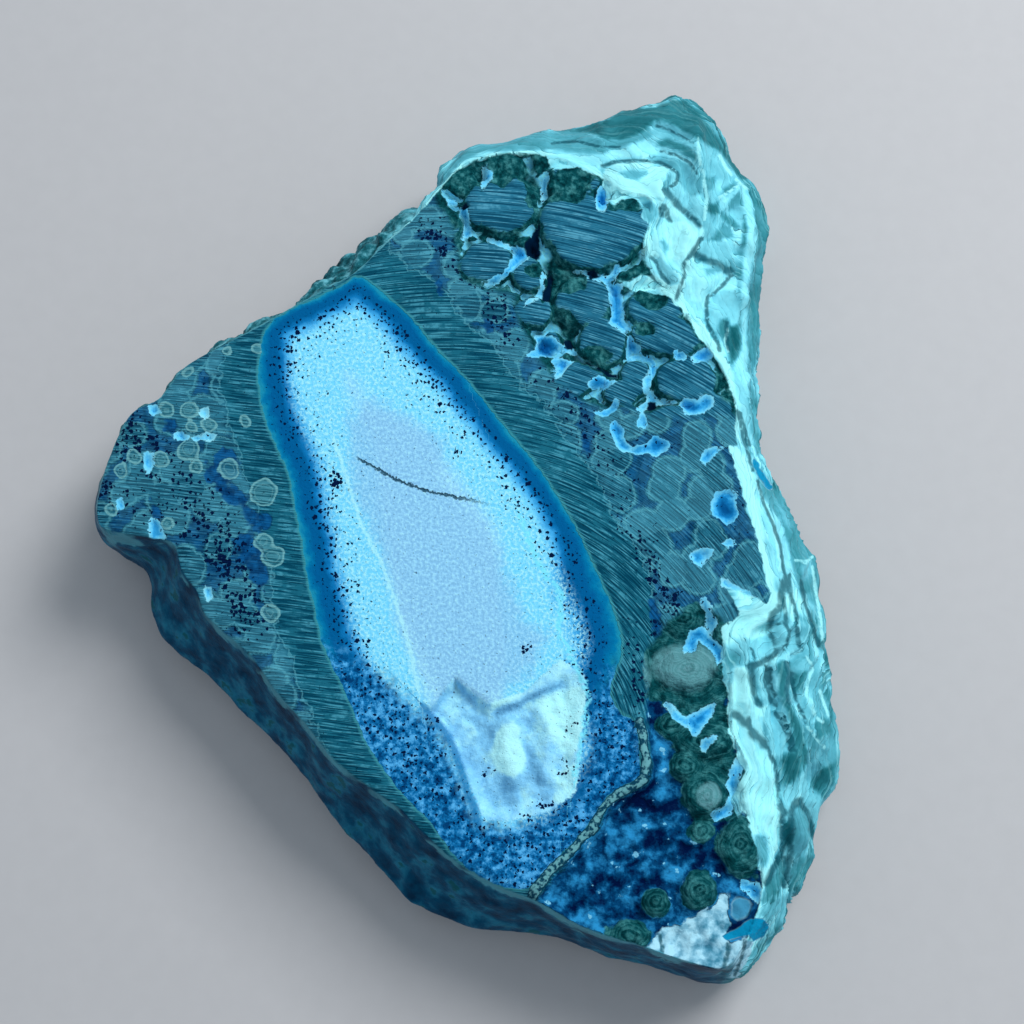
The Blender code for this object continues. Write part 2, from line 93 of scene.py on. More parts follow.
# Edge of the upper face, anticlockwise from the right
faceEdge = [
    (31.0, 9.0), (30.3, 12.5), (30.5, 15.5), (29.3, 19.5), (27.5, 22.5), (25.5, 26.0),
    (24.0, 28.8), (21.5, 31.5), (20.5, 35.0), (21.5, 38.5), (21.0, 41.0), (18.0, 41.8),
    (15.5, 43.5), (11.0, 45.8), (6.0, 46.6), (2.5, 46.2), (-0.5, 45.0), (-2.5, 43.0),
    (-4.0, 41.0), (-7.0, 37.5), (-10.0, 34.5), (-12.5, 31.8), (-16.0, 29.6), (-20.0, 27.3),
    (-24.0, 24.8), (-28.5, 22.3), (-32.0, 20.0), (-34.5, 16.5), (-37.5, 14.8), (-39.0, 12.0),
    (-40.3, 8.0), (-41.0, 4.0), (-40.5, 1.5), (-38.0, 0.7), (-35.0, 0.2), (-32.3, -0.5),
    (-31.3, -3.5), (-29.5, -6.0), (-28.5, -8.5), (-25.5, -11.2), (-23.0, -13.5), (-20.5, -17.0),
    (-17.0, -20.8), (-14.0, -24.5), (-10.0, -27.5), (-6.5, -30.0), (-3.5, -33.0), (-0.5, -35.5),
    (3.5, -37.8), (8.0, -39.6), (12.0, -41.8), (16.0, -43.3), (19.5, -44.3), (24.0, -45.8),
    (27.5, -46.3), (29.5, -44.0), (31.0, -41.0), (31.8, -37.5), (31.5, -33.5), (30.0, -29.0),
    (30.5, -25.0), (29.0, -21.0), (29.0, -16.0), (28.5, -12.0), (29.8, -9.0), (33.0, -7.8),
    (33.8, -5.5), (33.0, -1.0), (32.3, 3.0),
]

# Widest line of the slab and its height
widestLine = [
    (34.8, 11.5, 5.0), (34.0, 15.0, 6.0), (33.8, 19.0, 7.0), (33.8, 24.0, 8.0), (34.1, 29.0, 8.0),
    (34.7, 33.0, 8.0), (35.0, 36.0, 8.5), (35.8, 39.0, 8.5), (35.3, 43.0, 9.0), (34.0, 46.0, 9.5),
    (31.8, 49.0, 10.0), (30.3, 52.0, 10.0), (28.5, 55.2, 10.0), (26.0, 56.9, 10.0), (23.5, 56.6, 10.0),
    (20.8, 55.8, 10.5), (18.5, 54.9, 10.5), (16.0, 53.2, 11.0), (13.0, 52.2, 11.0), (9.0, 51.6, 11.0),
    (6.0, 50.8, 11.0), (3.0, 50.0, 11.0), (-0.4, 49.8, 11.0), (-2.0, 48.2, 11.0), (-3.6, 46.4, 11.0),
    (-3.8, 44.4, 11.0), (-5.2, 43.0, 11.5), (-7.5, 41.4, 12.0), (-10.0, 39.4, 12.0), (-12.0, 37.2, 12.0),
    (-14.2, 35.0, 12.0), (-17.5, 32.8, 12.5), (-19.3, 30.4, 13.0), (-22.0, 28.0, 13.5), (-25.2, 26.0, 13.5),
    (-28.8, 23.6, 13.5), (-32.6, 21.4, 13.0), (-35.4, 18.0, 12.0), (-38.6, 16.2, 11.0), (-40.6, 12.8, 10.0),
    (-42.0, 8.6, 9.0), (-42.8, 4.6, 8.0), (-42.2, 2.4, 7.0), (-40.0, 0.8, 6.0), (-37.8, -0.9, 5.5),
    (-36.9, -2.8, 5.0), (-36.9, -4.8, 5.0), (-35.8, -7.3, 5.0), (-34.2, -9.6, 5.0), (-31.8, -11.8, 5.0),
    (-28.8, -14.4, 5.0), (-26.5, -16.6, 5.0), (-22.2, -20.4, 5.0), (-19.6, -23.6, 5.0), (-17.0, -27.0, 5.0),
    (-13.6, -30.6, 5.0), (-11.0, -33.2, 5.0), (-8.6, -36.2, 5.0), (-6.4, -38.6, 5.0), (-3.2, -40.1, 5.0),
    (0.8, -41.3, 5.0), (5.0, -42.0, 5.0), (9.0, -42.3, 5.0), (12.6, -43.4, 5.0), (15.8, -44.6, 5.0),
    (19.2, -45.2, 5.0), (23.0, -46.4, 5.0), (26.0, -47.4, 5.0), (29.4, -47.4, 5.0), (31.4, -46.2, 5.0),
    (33.0, -43.6, 5.0), (34.6, -41.8, 5.0), (36.2, -38.8, 5.0), (37.8, -35.8, 5.0), (39.2, -33.2, 5.0),
    (39.8, -30.0, 5.0), (40.5, -27.4, 5.0), (41.8, -24.2, 5.0), (41.8, -20.0, 5.0), (41.5, -15.0, 5.0),
    (41.2, -10.6, 5.0), (40.9, -6.6, 5.0), (40.3, -3.4, 5.0), (40.2, -0.8, 5.0), (39.0, 1.8, 5.0),
    (37.6, 5.2, 5.0), (36.2, 8.6, 5.0),
]

# Breaks of the flank: angle round the hub, then share of the way out and height, twice
flankBreaks = [
    (-64.0, 0.40, 14.0, 0.75, 10.0), (-56.0, 0.40, 14.4, 0.75, 10.0), (-45.0, 0.42, 15.2, 0.76, 11.0),
    (-35.0, 0.40, 15.4, 0.76, 11.0), (-25.0, 0.25, 15.6, 0.72, 10.5), (-15.0, 0.25, 15.4, 0.70, 10.0),
    (0.0, 0.35, 14.6, 0.70, 10.5), (10.0, 0.40, 14.6, 0.70, 10.5), (18.0, 0.35, 15.0, 0.60, 12.0),
    (32.0, 0.15, 16.0, 0.67, 13.0), (41.0, 0.16, 16.2, 0.83, 12.6), (46.0, 0.45, 15.8, 0.83, 12.6),
    (55.0, 0.69, 15.3, 0.86, 13.0), (62.0, 0.60, 15.2, 0.85, 13.0), (72.0, 0.40, 15.4, 0.75, 13.6),
    (90.0, 0.40, 15.4, 0.75, 13.6), (112.0, 0.40, 15.8, 0.75, 14.4), (148.0, 0.40, 16.2, 0.75, 15.2),
    (175.0, 0.40, 15.5, 0.75, 12.5), (190.0, 0.35, 14.0, 0.70, 11.0), (203.0, 0.28, 12.5, 0.62, 8.5),
    (225.0, 0.28, 12.0, 0.62, 8.0), (250.0, 0.28, 12.0, 0.62, 8.0), (270.0, 0.33, 12.0, 0.65, 8.0),
    (285.0, 0.40, 12.0, 0.70, 8.0),
]

# Knobs cut through by the saw: place, half sizes, turn in degrees
sawnKnobs = [
    (-0.8, 43.2, 1.9, 1.8, 0), (3.9, 40.2, 4.3, 3.8, 0), (4.4, 44.8, 2.4, 1.7, 0),
    (12.4, 43.0, 3.1, 2.3, 0), (12.3, 38.0, 4.1, 4.1, 0), (18.2, 37.6, 3.2, 3.6, 0),
    (14.6, 34.6, 4.6, 2.6, 0), (2.3, 32.8, 3.1, 2.5, 0), (7.3, 31.4, 1.9, 2.1, 0),
    (7.8, 26.8, 2.1, 1.9, 0), (13.4, 28.3, 3.3, 3.2, 0), (15.5, 23.2, 2.9, 2.8, 0),
    (21.8, 27.4, 3.4, 2.5, 0), (23.0, 23.8, 4.4, 2.3, -6), (12.8, 18.8, 3.4, 2.0, 20),
    (19.2, 18.8, 1.9, 2.2, 0), (25.0, 18.6, 3.6, 2.8, -10), (17.6, 17.0, 2.0, 1.6, 0),
    (-3.0, 37.6, 2.4, 2.2, 0), (27.8, 13.8, 2.8, 3.2, 0), (23.2, 13.0, 3.2, 2.7, 0),
    (18.6, 13.4, 2.4, 2.0, 0), (9.8, 23.4, 1.5, 1.0, 0),
]
openGrooves = [
    (-4.5, 42.0), (-1.6, 36.6), (-0.8, 31.0), (2.0, 29.4), (5.4, 28.8), (5.8, 25.4),
    (8.0, 21.4), (10.4, 18.0), (14.0, 15.6), (19.0, 14.6), (24.0, 14.0), (31.0, 14.5),
    (32.0, 22.0), (27.0, 31.0), (23.0, 43.0), (16.0, 45.5), (8.0, 47.5), (-1.0, 47.0),
]

# Rounded knobs that stand in the broken lower right: place, half sizes, height
knobs = [
    (28.6, -7.4, 2.2, 1.9, 0.9), (24.0, -9.0, 2.4, 1.9, 0.8), (28.6, -10.6, 1.5, 1.5, 0.8),
    (24.4, -14.6, 3.6, 2.5, 1.2), (18.2, -14.4, 1.9, 2.3, 0.7), (17.6, -17.8, 1.6, 1.9, 0.7),
    (28.2, -14.6, 1.4, 1.4, 0.9), (22.6, -20.6, 1.9, 1.7, 1.2), (26.0, -22.4, 3.4, 1.9, 1.5),
    (23.8, -25.2, 1.9, 1.6, 1.3), (26.0, -28.4, 2.5, 2.4, 1.7), (29.6, -33.6, 2.4, 3.1, 1.9),
    (25.0, -38.4, 2.0, 2.1, 1.6), (20.4, -39.6, 1.7, 1.7, 1.3), (17.6, -43.0, 2.2, 1.7, 1.0),
    (25.4, -32.2, 1.6, 1.4, 0.9), (30.8, -26.8, 1.5, 1.3, 1.2), (31.6, -2.6, 1.7, 3.0, 0.3),
]

# Crests and creases of the banded side: path, height, half width
folds = [
    ([(26.9, 52.0), (26.7, 48.0), (27.3, 44.0), (27.3, 40.0), (25.8, 34.5), (24.4, 30.0)], 0.7, 1.5),
    ([(29.0, 46.5), (31.5, 43.0), (32.5, 41.0), (33.0, 38.0), (32.3, 34.0), (32.0, 30.0)], 0.6, 1.3),
    ([(32.0, 30.0), (31.8, 25.0), (31.5, 20.5), (31.2, 15.0)], 0.5, 1.2),
    ([(26.0, 33.7), (28.0, 33.0), (29.9, 31.9), (28.3, 29.5), (27.6, 27.6), (28.4, 24.0)], -0.6, 1.0),
    ([(27.4, 41.5), (29.4, 40.0), (31.6, 40.6)], -0.5, 1.0),
    ([(28.0, 38.0), (30.4, 36.4), (32.4, 36.6)], 0.5, 1.1),
    ([(22.0, 46.4), (25.0, 45.2), (26.6, 42.0), (25.2, 39.4)], -0.5, 0.9),
    ([(36.0, -10.0), (36.4, -15.0), (37.6, -20.0), (38.2, -26.0)], -0.7, 1.3),
    ([(33.2, -10.0), (33.0, -14.0), (34.2, -19.0), (34.6, -25.0), (34.4, -30.0), (34.8, -36.0)], -0.8, 1.1),
    ([(34.8, -9.0), (34.9, -14.0), (36.0, -20.0), (36.4, -27.0), (36.6, -32.0)], 0.6, 1.4),
    ([(29.0, -14.4), (31.0, -15.2), (33.6, -13.0), (36.0, -9.6), (39.0, -8.6)], 0.6, 1.1),
]

# Stretches of the knobs that the saw missed: place, half sizes
unsawnPatches = [
    (-0.8, 43.4, 3.0, 2.4), (-4.0, 38.6, 3.4, 2.0), (4.6, 44.6, 4.4, 2.3), (11.6, 42.6, 3.6, 2.6),
    (18.8, 40.4, 3.2, 1.5), (11.4, 30.4, 2.6, 1.4), (21.4, 28.4, 2.6, 1.6), (11.0, 25.2, 1.8, 1.8),
    (8.0, 31.8, 1.8, 1.0), (14.6, 21.4, 2.6, 1.2), (20.4, 24.6, 1.4, 0.9), (7.6, 42.0, 1.0, 2.4),
]
brokenCorner = [
    (19.6, -12.5), (19.9, -20.6), (20.2, -25.0), (19.6, -27.2), (16.0, -29.2), (14.0, -32.4),
    (10.8, -35.8), (8.0, -39.0), (12.0, -43.5), (20.0, -46.0), (29.0, -49.0), (33.0, -42.0),
    (33.5, -30.0), (31.5, -20.0), (31.0, -11.5), (25.5, -6.8), (22.0, -10.0),
]
veinPath = [
    (19.0, -20.5), (19.3, -22.5), (19.6, -25.0), (19.2, -26.8), (17.4, -27.8), (15.7, -28.9),
    (14.5, -30.4), (13.5, -32.1), (12.0, -33.8), (10.4, -35.4), (9.0, -36.7), (8.0, -38.0), (7.3, -39.2),
]
chipOutline = [
    (-4.2, -19.6), (-1.2, -15.4), (2.6, -18.3), (6.6, -17.0), (10.4, -13.4), (13.3, -15.4),
    (13.4, -18.0), (12.8, -23.0), (12.2, -28.2), (9.0, -30.4), (5.0, -31.3), (2.0, -31.0),
    (0.9, -28.2), (-0.6, -24.4), (-2.2, -20.8),
]
chipHumps = [
    ([(4.6, -20.8), (4.4, -23.4), (5.6, -26.2)], 2.4, 0.8),
    ([(3.2, -18.6), (6.2, -18.0), (8.8, -16.4), (10.8, -14.6)], 1.6, 0.5),
    ([(8.2, -19.6), (9.4, -22.4), (8.6, -25.8)], 1.8, 0.5),
]

# The pale core's outline, and the part of it that stays blue at its lower end
coreOutline = [
    (-12.7, 31.0), (-10.9, 30.1), (-8.5, 28.0), (-6.0, 25.5), (-3.3, 22.1), (0.0, 18.5), (3.9, 13.5),
    (7.5, 9.0), (10.5, 4.4), (12.8, 0.0), (14.9, -4.7), (16.4, -8.5), (17.2, -12.0), (16.6, -14.5),
    (15.8, -17.0), (16.8, -19.5), (18.4, -20.5), (18.9, -24.8), (18.6, -26.6), (15.4, -28.5),
    (13.1, -31.8), (10.0, -35.1), (7.6, -38.0), (3.5, -37.8), (-0.5, -35.2), (-3.5, -31.2), (-5.3, -29.5),
    (-7.4, -27.2), (-9.0, -25.0), (-10.6, -22.4), (-11.8, -19.7), (-13.0, -17.0), (-14.3, -14.5),
    (-15.6, -11.5), (-16.4, -8.0), (-17.3, -4.7), (-17.8, -1.5), (-18.6, 2.0), (-19.2, 5.0),
    (-19.9, 7.8), (-20.7, 9.5), (-22.0, 12.5), (-23.0, 15.5), (-23.5, 19.0), (-23.3, 22.0),
    (-21.9, 25.9), (-14.5, 29.8),
]
coreBlueEnd = [
    (-15.5, -12.0), (-11.0, -14.0), (-7.5, -16.5), (-4.6, -19.4), (-2.6, -20.8), (-1.0, -24.4),
    (0.5, -28.4), (1.8, -31.2), (5.0, -31.7), (9.2, -30.8), (12.6, -28.6), (13.4, -23.0),
    (14.0, -17.6), (15.5, -14.5), (20.0, -17.0), (21.0, -27.0), (10.0, -38.0), (4.0, -40.0),
    (-5.0, -33.0), (-14.0, -22.0),
]

centreOutline = [
    (-13.2, 13.8), (-10.4, 16.1), (-6.2, 13.8), (-2.2, 11.0), (-2.8, 6.4), (1.0, 3.1), (3.5, -0.8),
    (6.7, -9.3), (9.0, -11.0), (7.1, -15.2), (2.7, -17.8), (-2.3, -17.8), (-4.9, -13.4), (-6.5, -10.0),
    (-8.8, -2.4), (-12.7, 5.8), (-13.0, 9.1),
]

# Marks on the face that are only colour: crack, light scratches, bands of black specks and their widths
crackPath = [
    (-12.7, 9.6), (-10.1, 8.1), (-7.3, 6.5), (-3.9, 5.3), (-2.3, 5.0), (1.6, 4.1), (5.0, 3.3),
]
hookPath = [(-1.7, 10.8), (-1.2, 9.0), (-2.3, 6.7), (-3.9, 5.5)]
scratchPath = [(-14.7, 11.4), (-11.7, 2.0), (-9.4, -2.4), (-7.6, -7.0), (-5.9, -12.6), (-5.0, -17.0)]
# Path of a painted highlight line at the right of the pale part
highlightPath = [
    (6.1, 2.4), (8.3, -3.4), (10.6, -6.2), (10.3, -10.8), (11.1, -12.1), (13.5, -17.2), (12.9, -21.6), (11.9, -26.6),
]
# Path of the painted shadow along the chip's left edge
chipShadowPath = [(-4.4, -18.9), (-3.2, -20.2), (-1.6, -22.1), (-0.4, -25.2), (0.3, -27.7), (1.1, -29.5), (1.5, -31.3)]
coreSpeckSpots = [
    (10.7, -25.2, 1.5, 1.5), (8.5, -29.2, 1.4, 1.2), (6.4, -30.7, 1.5, 0.8), (2.4, -25.8, 1.6, 0.7),
    (-3.5, -20.2, 1.2, 0.9), (-14.4, 6.7, 1.0, 1.3), (6.7, -12.5, 0.9, 1.0), (11.5, -21.0, 1.2, 1.6),
    (-1.0, 10.0, 0.8, 1.4), (-15.9, 16.8, 0.8, 0.8),
]
speckBands = [
    ([(-4.0, 37.0), (-2.0, 34.0), (0.0, 31.0), (3.0, 28.0), (5.0, 24.0)], 2.4, 0.75),
    ([(9.0, 18.0), (12.0, 15.0), (14.5, 11.0), (16.5, 6.5), (18.0, 2.5), (19.5, -0.5)], 2.6, 0.6),
    ([(19.5, -0.5), (20.5, -3.0), (21.5, -5.0), (22.5, -8.0), (21.0, -10.5)], 1.8, 0.95),
    ([(-38.5, 12.0), (-34.5, 8.5), (-30.0, 5.0), (-27.0, 0.5), (-25.5, -4.0), (-23.5, -9.0)], 3.0, 0.85),
    ([(-40.0, 5.0), (-36.0, 4.0), (-31.0, 1.0)], 2.4, 0.6),
    ([(18.0, -10.0), (18.6, -13.5), (19.0, -19.0)], 1.3, 0.9),
]

# Marks of the sawn face as seen from above: small ringed eyes (place, radius), blue pools, navy stretches,
# deep holes (how far moss covers their walls, outline) and stretches with a dark green skin
eyes = [
    (-33.7, 15.1, 0.9), (-31.1, 14.7, 1.1), (-29, 13.2, 0.9), (-30.8, 12.7, 0.7), (-31, 10.1, 1.3),
        (-30.2, 8.3, 0.9), (-26.4, 7.9, 1.3), (-22.6, 5.2, 1.6), (-37.2, 9.3, 1), (-22.2, -0.4, 1.1),
        (-32.9, 1.7, 0.8), (-21.3, -2.1, 1.3), (-21.2, -8.4, 1), (-31.4, 19.6, 0.7), (-27.1, 22, 0.6),
        (-23.8, 22, 0.7), (-39.4, 3.2, 0.9), (-38.5, 7.8, 0.9), (-24.7, 13.7, 0.8), (-34.1, 9, 1)
]
pools = [
    [(1.9, 44.4), (2.7, 43.9), (2.7, 43.2), (2, 42.2), (1.7, 41.7), (1.8, 42.9)],
    [(-2.4, 40.4), (-1.2, 40.3), (-1.2, 39.6), (-2.2, 39.8)],
    [(-0.8, 39.4), (-0.1, 39.4), (0.2, 37.7), (0.5, 36), (-0.5, 35.4), (-0.1, 37.3), (-0.6, 38.5)],
    [(9.4, 43.4), (9.2, 42.4), (9.1, 40.7), (8.7, 40.1), (8.6, 41.9), (9, 42.9)],
    [(15.4, 42.2), (16.2, 41.7), (16.3, 40.4), (15.9, 39.1), (15.1, 39.4), (14.9, 40.7)],
    [(2.4, 35.7), (3.9, 35.3), (5, 34.7), (6.2, 34.5), (6.9, 34.2), (7.1, 33.2), (6.2, 32.7), (5.4, 32),
        (4.7, 31.2), (3.9, 30.5), (3.1, 30), (2.2, 29.9), (1.8, 30.1), (2.7, 30.6), (3.9, 31.2),
        (4.8, 32), (5.3, 33.2), (5.5, 34.2), (3.9, 34.8), (2.5, 35.3)],
    [(8.6, 31.5), (9, 31), (8.9, 30), (8.7, 28.4), (7.3, 27.9), (6.6, 27.1), (6.4, 27.1), (7, 28),
        (8.2, 28.5), (8.6, 30)],
    [(11.9, 31.6), (13.1, 31.8), (14.2, 31.5), (15.4, 31), (16.7, 31.1), (17, 32), (17.4, 32.5),
        (17.5, 31.7), (17, 30.7), (15.9, 30.4), (14.7, 30.7), (13.3, 31.3)],
    [(16, 30.2), (16.8, 29.8), (17.9, 30), (17.4, 29), (17.8, 28.3), (17.7, 27.3), (17.9, 26.3),
        (17.8, 25.4), (18.5, 24.6), (18, 24.2), (17.1, 24.9), (16.2, 25.4), (16.7, 26.1), (16.5, 27.6),
        (16.5, 29)],
    [(7.9, 23.7), (9.6, 23.7), (10.7, 22.7), (12.1, 22.2), (12.5, 21.3), (11.3, 21.8), (10.5, 21.8),
        (9, 21.3), (7.6, 21.3), (6.7, 21.4), (7.9, 22), (8.1, 23)],
    [(9.8, 20.8), (10.9, 21), (12.1, 20.6), (11.4, 19.8), (10.7, 19), (9.9, 18.4), (10.4, 19.6)],
    [(13.8, 17.8), (14.3, 18.6), (15.2, 18.9), (15.9, 18.4), (16.8, 18.3), (15.8, 17.6), (14.5, 17.4)],
    [(18.5, 23.8), (19.1, 23), (19.8, 22.2), (19, 21.8), (18.3, 21.4), (18.3, 22.6)],
    [(18, 21), (19.2, 21.3), (20.7, 21.3), (21.4, 20.6), (21.4, 19.4), (20.9, 18.4), (20.6, 17.4),
        (21.1, 16.7), (21.7, 16), (22.9, 16), (23.6, 15.8), (21.9, 15.5), (20.8, 15.5), (19.7, 14.6),
        (19.3, 15.1), (20.3, 15.8), (20.6, 16.5), (20.1, 17.4), (20.2, 18.6), (20.9, 19.6), (21.1, 20.6),
        (19.8, 20.9), (18.4, 20.7)],
    [(23.8, 22), (24.8, 21.8), (24.8, 21), (23.8, 21)],
    [(25.5, 21), (26.4, 21.8), (27.5, 22.2), (28, 21.5), (27.3, 21), (26.6, 20.6), (25.7, 20.6)],
    [(24.2, 15.4), (24.7, 16.3), (25.9, 15.9), (27, 16.6), (27.8, 16.3), (27.8, 15.3), (26.7, 14.6),
        (25.3, 14.4), (24.6, 14.6)],
    [(14.5, 14.8), (15.6, 14.7), (16.5, 15.4), (16.7, 16.3), (17.2, 16), (16.9, 15.1), (15.8, 14.1),
        (15.2, 14.2)],
    [(16.7, 13.9), (17.6, 12.5), (17.6, 11.3), (18.7, 10.4), (20.2, 10.7), (21.3, 11.8), (22.8, 11.1),
        (22.4, 10.1), (21.3, 9.5), (20.7, 9.9), (19, 9.8), (17.6, 10.1), (16.8, 11.3), (16.3, 12.7)],
    [(19.7, 14.6), (20.3, 13.9), (20.3, 12.9), (19.4, 13.1)],
    [(26.3, 9), (26.8, 10.1), (28, 10.4), (28.8, 10.4), (27.6, 9.5), (26.7, 8.5)],
    [(27.3, 3.7), (28, 5.2), (29.3, 5.5), (30.4, 5.2), (29.8, 4.3), (30.4, 2.9), (29.7, 2), (29, 1.6),
        (27.9, 2.5)],
    [(24.9, -1.6), (26, -1.2), (27.4, -1.4), (26.7, -2.5), (26, -3.2), (25.1, -2.8)],
    [(28.5, -0.6), (29.4, 0), (30, -0.5), (29.1, -1)],
    [(28.4, -4.6), (29.8, -5.5), (31.2, -6.2), (32.2, -7.1), (31, -6.7), (29.7, -6), (28.4, -5.4)],
    [(24, -12.9), (24.7, -10.4), (26.2, -10.1), (27.1, -11.5), (28.2, -12.4), (28.5, -13.2),
        (27.7, -14.2), (27.4, -13.2), (26.6, -12.1), (25.6, -11.5), (24.9, -12.6)],
    [(26.2, -6.8), (26.9, -7.5), (27, -8.4), (27.6, -9.5), (27.1, -10.4), (26.5, -10.2), (26.6, -8.7),
        (25.9, -7.3)],
    [(21.7, -18.4), (22.6, -18.8), (23.6, -20.1), (24.9, -19.7), (26.2, -18.8), (27.1, -18.5),
        (26.9, -19.5), (26.2, -20.5), (25.5, -21.4), (24.7, -22), (24.3, -21.2), (23.4, -20.5),
        (22.6, -19.9)],
    [(28.3, -27), (29.3, -24.4), (30, -25.5), (29.4, -27), (28.9, -28.9), (28.7, -30.2), (27.9, -30.6),
        (27, -31.1), (26.5, -30.6), (27, -30), (28.1, -29.6), (28.5, -28.4)],
    [(25.5, -23), (26.2, -22.3), (27.3, -22), (26.8, -22.7), (25.9, -23.8)],
    [(29.6, -37.4), (31, -37.6), (31.6, -38.2), (31.2, -39.7), (30.6, -39.3), (30.2, -38.6), (29.2, -38.2)],
    [(-32.7, 12), (-32, 12.4), (-31.3, 11.8), (-31.5, 11.3), (-32.5, 11.5)],
    [(-30.7, 11.7), (-29.8, 11.8), (-29, 12.2), (-28.2, 12), (-28.4, 11.4), (-29.3, 11.4), (-30.4, 11.3)],
    [(-35.8, 15.3), (-34.9, 15.4), (-34.4, 14.6), (-35.3, 14.4)],
    [(-30, 14.8), (-29.2, 15.1), (-29, 14.1), (-29.6, 13.9)],
    [(-35.9, 9.9), (-35.1, 9.7), (-34.9, 8.4), (-35.4, 7.5), (-35.9, 8.4)],
    [(-34.9, 2.3), (-34, 1.8), (-33.5, 0.9), (-33.3, 0), (-34.8, -0.4), (-35.1, 0.6)],
    [(-38.8, 4.3), (-38.2, 4.6), (-37.9, 3.4), (-38.5, 3.4)],
    [(-28.6, -5.5), (-28, -5.7), (-27.7, -6.8), (-28.3, -7.1)],
]
navies = [
    [(-27.3, 10.7), (-26.1, 10.4), (-25.2, 8.7), (-25.3, 7.3), (-26.2, 6.2), (-27.7, 5.9), (-29, 6.6),
        (-29.2, 9.2), (-28.3, 8.7)],
    [(-27.8, 6.4), (-25.6, 5.9), (-24.3, 4.9), (-23.9, 3.4), (-22.5, 2.9), (-21.3, 2.6), (-21.6, 0.9),
        (-23.2, 0.6), (-24.2, 2), (-25, 3.7), (-26.7, 4.3), (-27.8, 5.2)],
    [(-25.4, 0.9), (-23.8, 0.4), (-22.4, -1.2), (-21.6, -4.2), (-22, -6.2), (-23.4, -5), (-24.8, -2.5)],
    [(-35, 4.6), (-34.1, 3.4), (-33.4, 2), (-34, 1.6), (-34.9, 2.5)],
    [(-33.7, 13.7), (-32.8, 13.9), (-32.1, 12.7), (-32.9, 11.8), (-34.1, 12.5)],
    [(20.8, -11.5), (21.6, -11.8), (21.8, -14.6), (21.3, -18.1), (20.2, -20.8), (19.7, -19.9),
        (20.4, -17.1), (20.7, -14.3)],
    [(12.9, 12.5), (13.8, 11.8), (14.2, 9.9), (13.3, 10.1)],
    [(20, -7.1), (21, -6.6), (21.5, -8.4), (21.9, -11.5), (20.8, -11.5)],
    [(1.8, 26.1), (3, 25.6), (3.2, 24.2), (2.1, 23.9)],
    [(-3.5, 30.7), (-2.5, 30), (-2.8, 28.5), (-3.7, 29)],
]
pits = [
    (0.0, [(6.8, 35.4), (7.7, 36.9), (8.6, 38.4), (8.3, 36.4), (8.6, 34.2), (8.2, 33.4), (7.3, 33.8),
        (6.6, 34.7)]),
    (0.0, [(9.4, 32.5), (10, 31.2), (9.7, 29.9), (9.5, 28.2), (8.6, 28), (8.8, 29.3), (9.3, 30.5)]),
    (0.0, [(13.3, 32), (14.7, 32), (15.6, 31.6), (15.1, 31.1), (14.2, 30.6), (14, 31.5)]),
    (0.0, [(-0.9, 39.9), (0.5, 40.1), (-0.3, 39.4)]),
    (1.0, [(10.5, 24.4), (12.1, 24.4), (12.9, 22.8), (12.5, 21.8), (14.1, 21.4), (15.5, 20.6),
        (16.8, 20.2), (17.7, 19.8), (17.7, 18.5), (15.8, 18.6), (14.5, 19.6), (13, 20.6), (11.8, 21.8),
        (10.7, 22.7)]),
    (0.0, [(20.6, 16.3), (21.7, 16.3), (21.4, 15.5), (20.6, 15.4)]),
]
mossAreas = [
    [(21, -7.1), (22.4, -6.6), (24.8, -7.1), (26.1, -6.8), (26.8, -7.5), (27.2, -5.9), (28.4, -5.7),
        (32.5, -7.1), (32.9, -7.5), (30.3, -8.2), (29.8, -9.3), (30, -10.6), (28.9, -10.2), (29.3, -11.5),
        (28.8, -12.6), (29.5, -14), (29.2, -15.1), (29.1, -17.1), (28, -18.1), (29.4, -18.8),
        (29.4, -20.3), (30.1, -22), (29.4, -23), (29.6, -24.7), (31, -26.4), (31.5, -27), (30.7, -28.3),
        (29.4, -28.5), (30.4, -31.1), (30.8, -33.2), (31.3, -36.1), (31.3, -37.4), (29.6, -37.4),
        (28.1, -36.3), (26.9, -34.2), (27, -32.3), (28.3, -31.3), (27.2, -31.3), (25.9, -32.1),
        (24.5, -31.1), (24.3, -29.6), (23.5, -27.9), (23.7, -26.3), (23.1, -24.9), (22.5, -22.7),
        (22.1, -20.3), (21.7, -18.4), (19.1, -18.1), (17.4, -18.8), (16.5, -17.1), (16.4, -14.2),
        (17.3, -12.4), (19.2, -12.6), (20.1, -9.3)],
    [(15.1, -42.1), (18.7, -42.1), (20.3, -42.6), (20, -43.8), (18.7, -44.6), (17.4, -45.1),
        (15.7, -44.6), (14.5, -43.6)],
]

# The whitish broken stone between the knobs and the tip, and along the face's right edge
whiteZone = [
    (15.6, 43.6), (16.6, 40.2), (19.6, 41.0), (21.0, 37.5), (20.0, 34.0), (21.2, 31.4), (18.0, 30.6),
    (16.5, 31.4), (19.0, 29.8), (23.0, 28.6), (26.5, 24.0), (29.0, 20.5), (30.4, 20.6), (28.5, 26.0),
    (25.2, 31.0), (26.2, 35.0), (27.0, 38.5), (26.0, 43.0), (21.0, 45.5), (12.0, 47.0), (8.5, 46.8),
]
paleEdge = [
    (28.6, -5.6), (31.0, -6.2), (33.5, -7.5), (34.0, -14.0), (33.5, -22.0), (33.5, -30.0), (33.0, -38.0),
    (31.6, -38.5), (31.8, -33.0), (30.6, -29.8), (29.2, -31.0), (29.0, -28.5), (30.6, -25.0), (28.6, -22.0),
    (28.6, -16.5), (28.0, -13.0), (28.4, -10.0), (30.2, -8.5),
]

# Paler knobs in the broken corner: place, half sizes
paleKnobs = [(24.2, -14.2, 4.4, 3.2), (18.0, -15.5, 2.6, 4.0), (26.4, -28.4, 1.6, 1.6)]

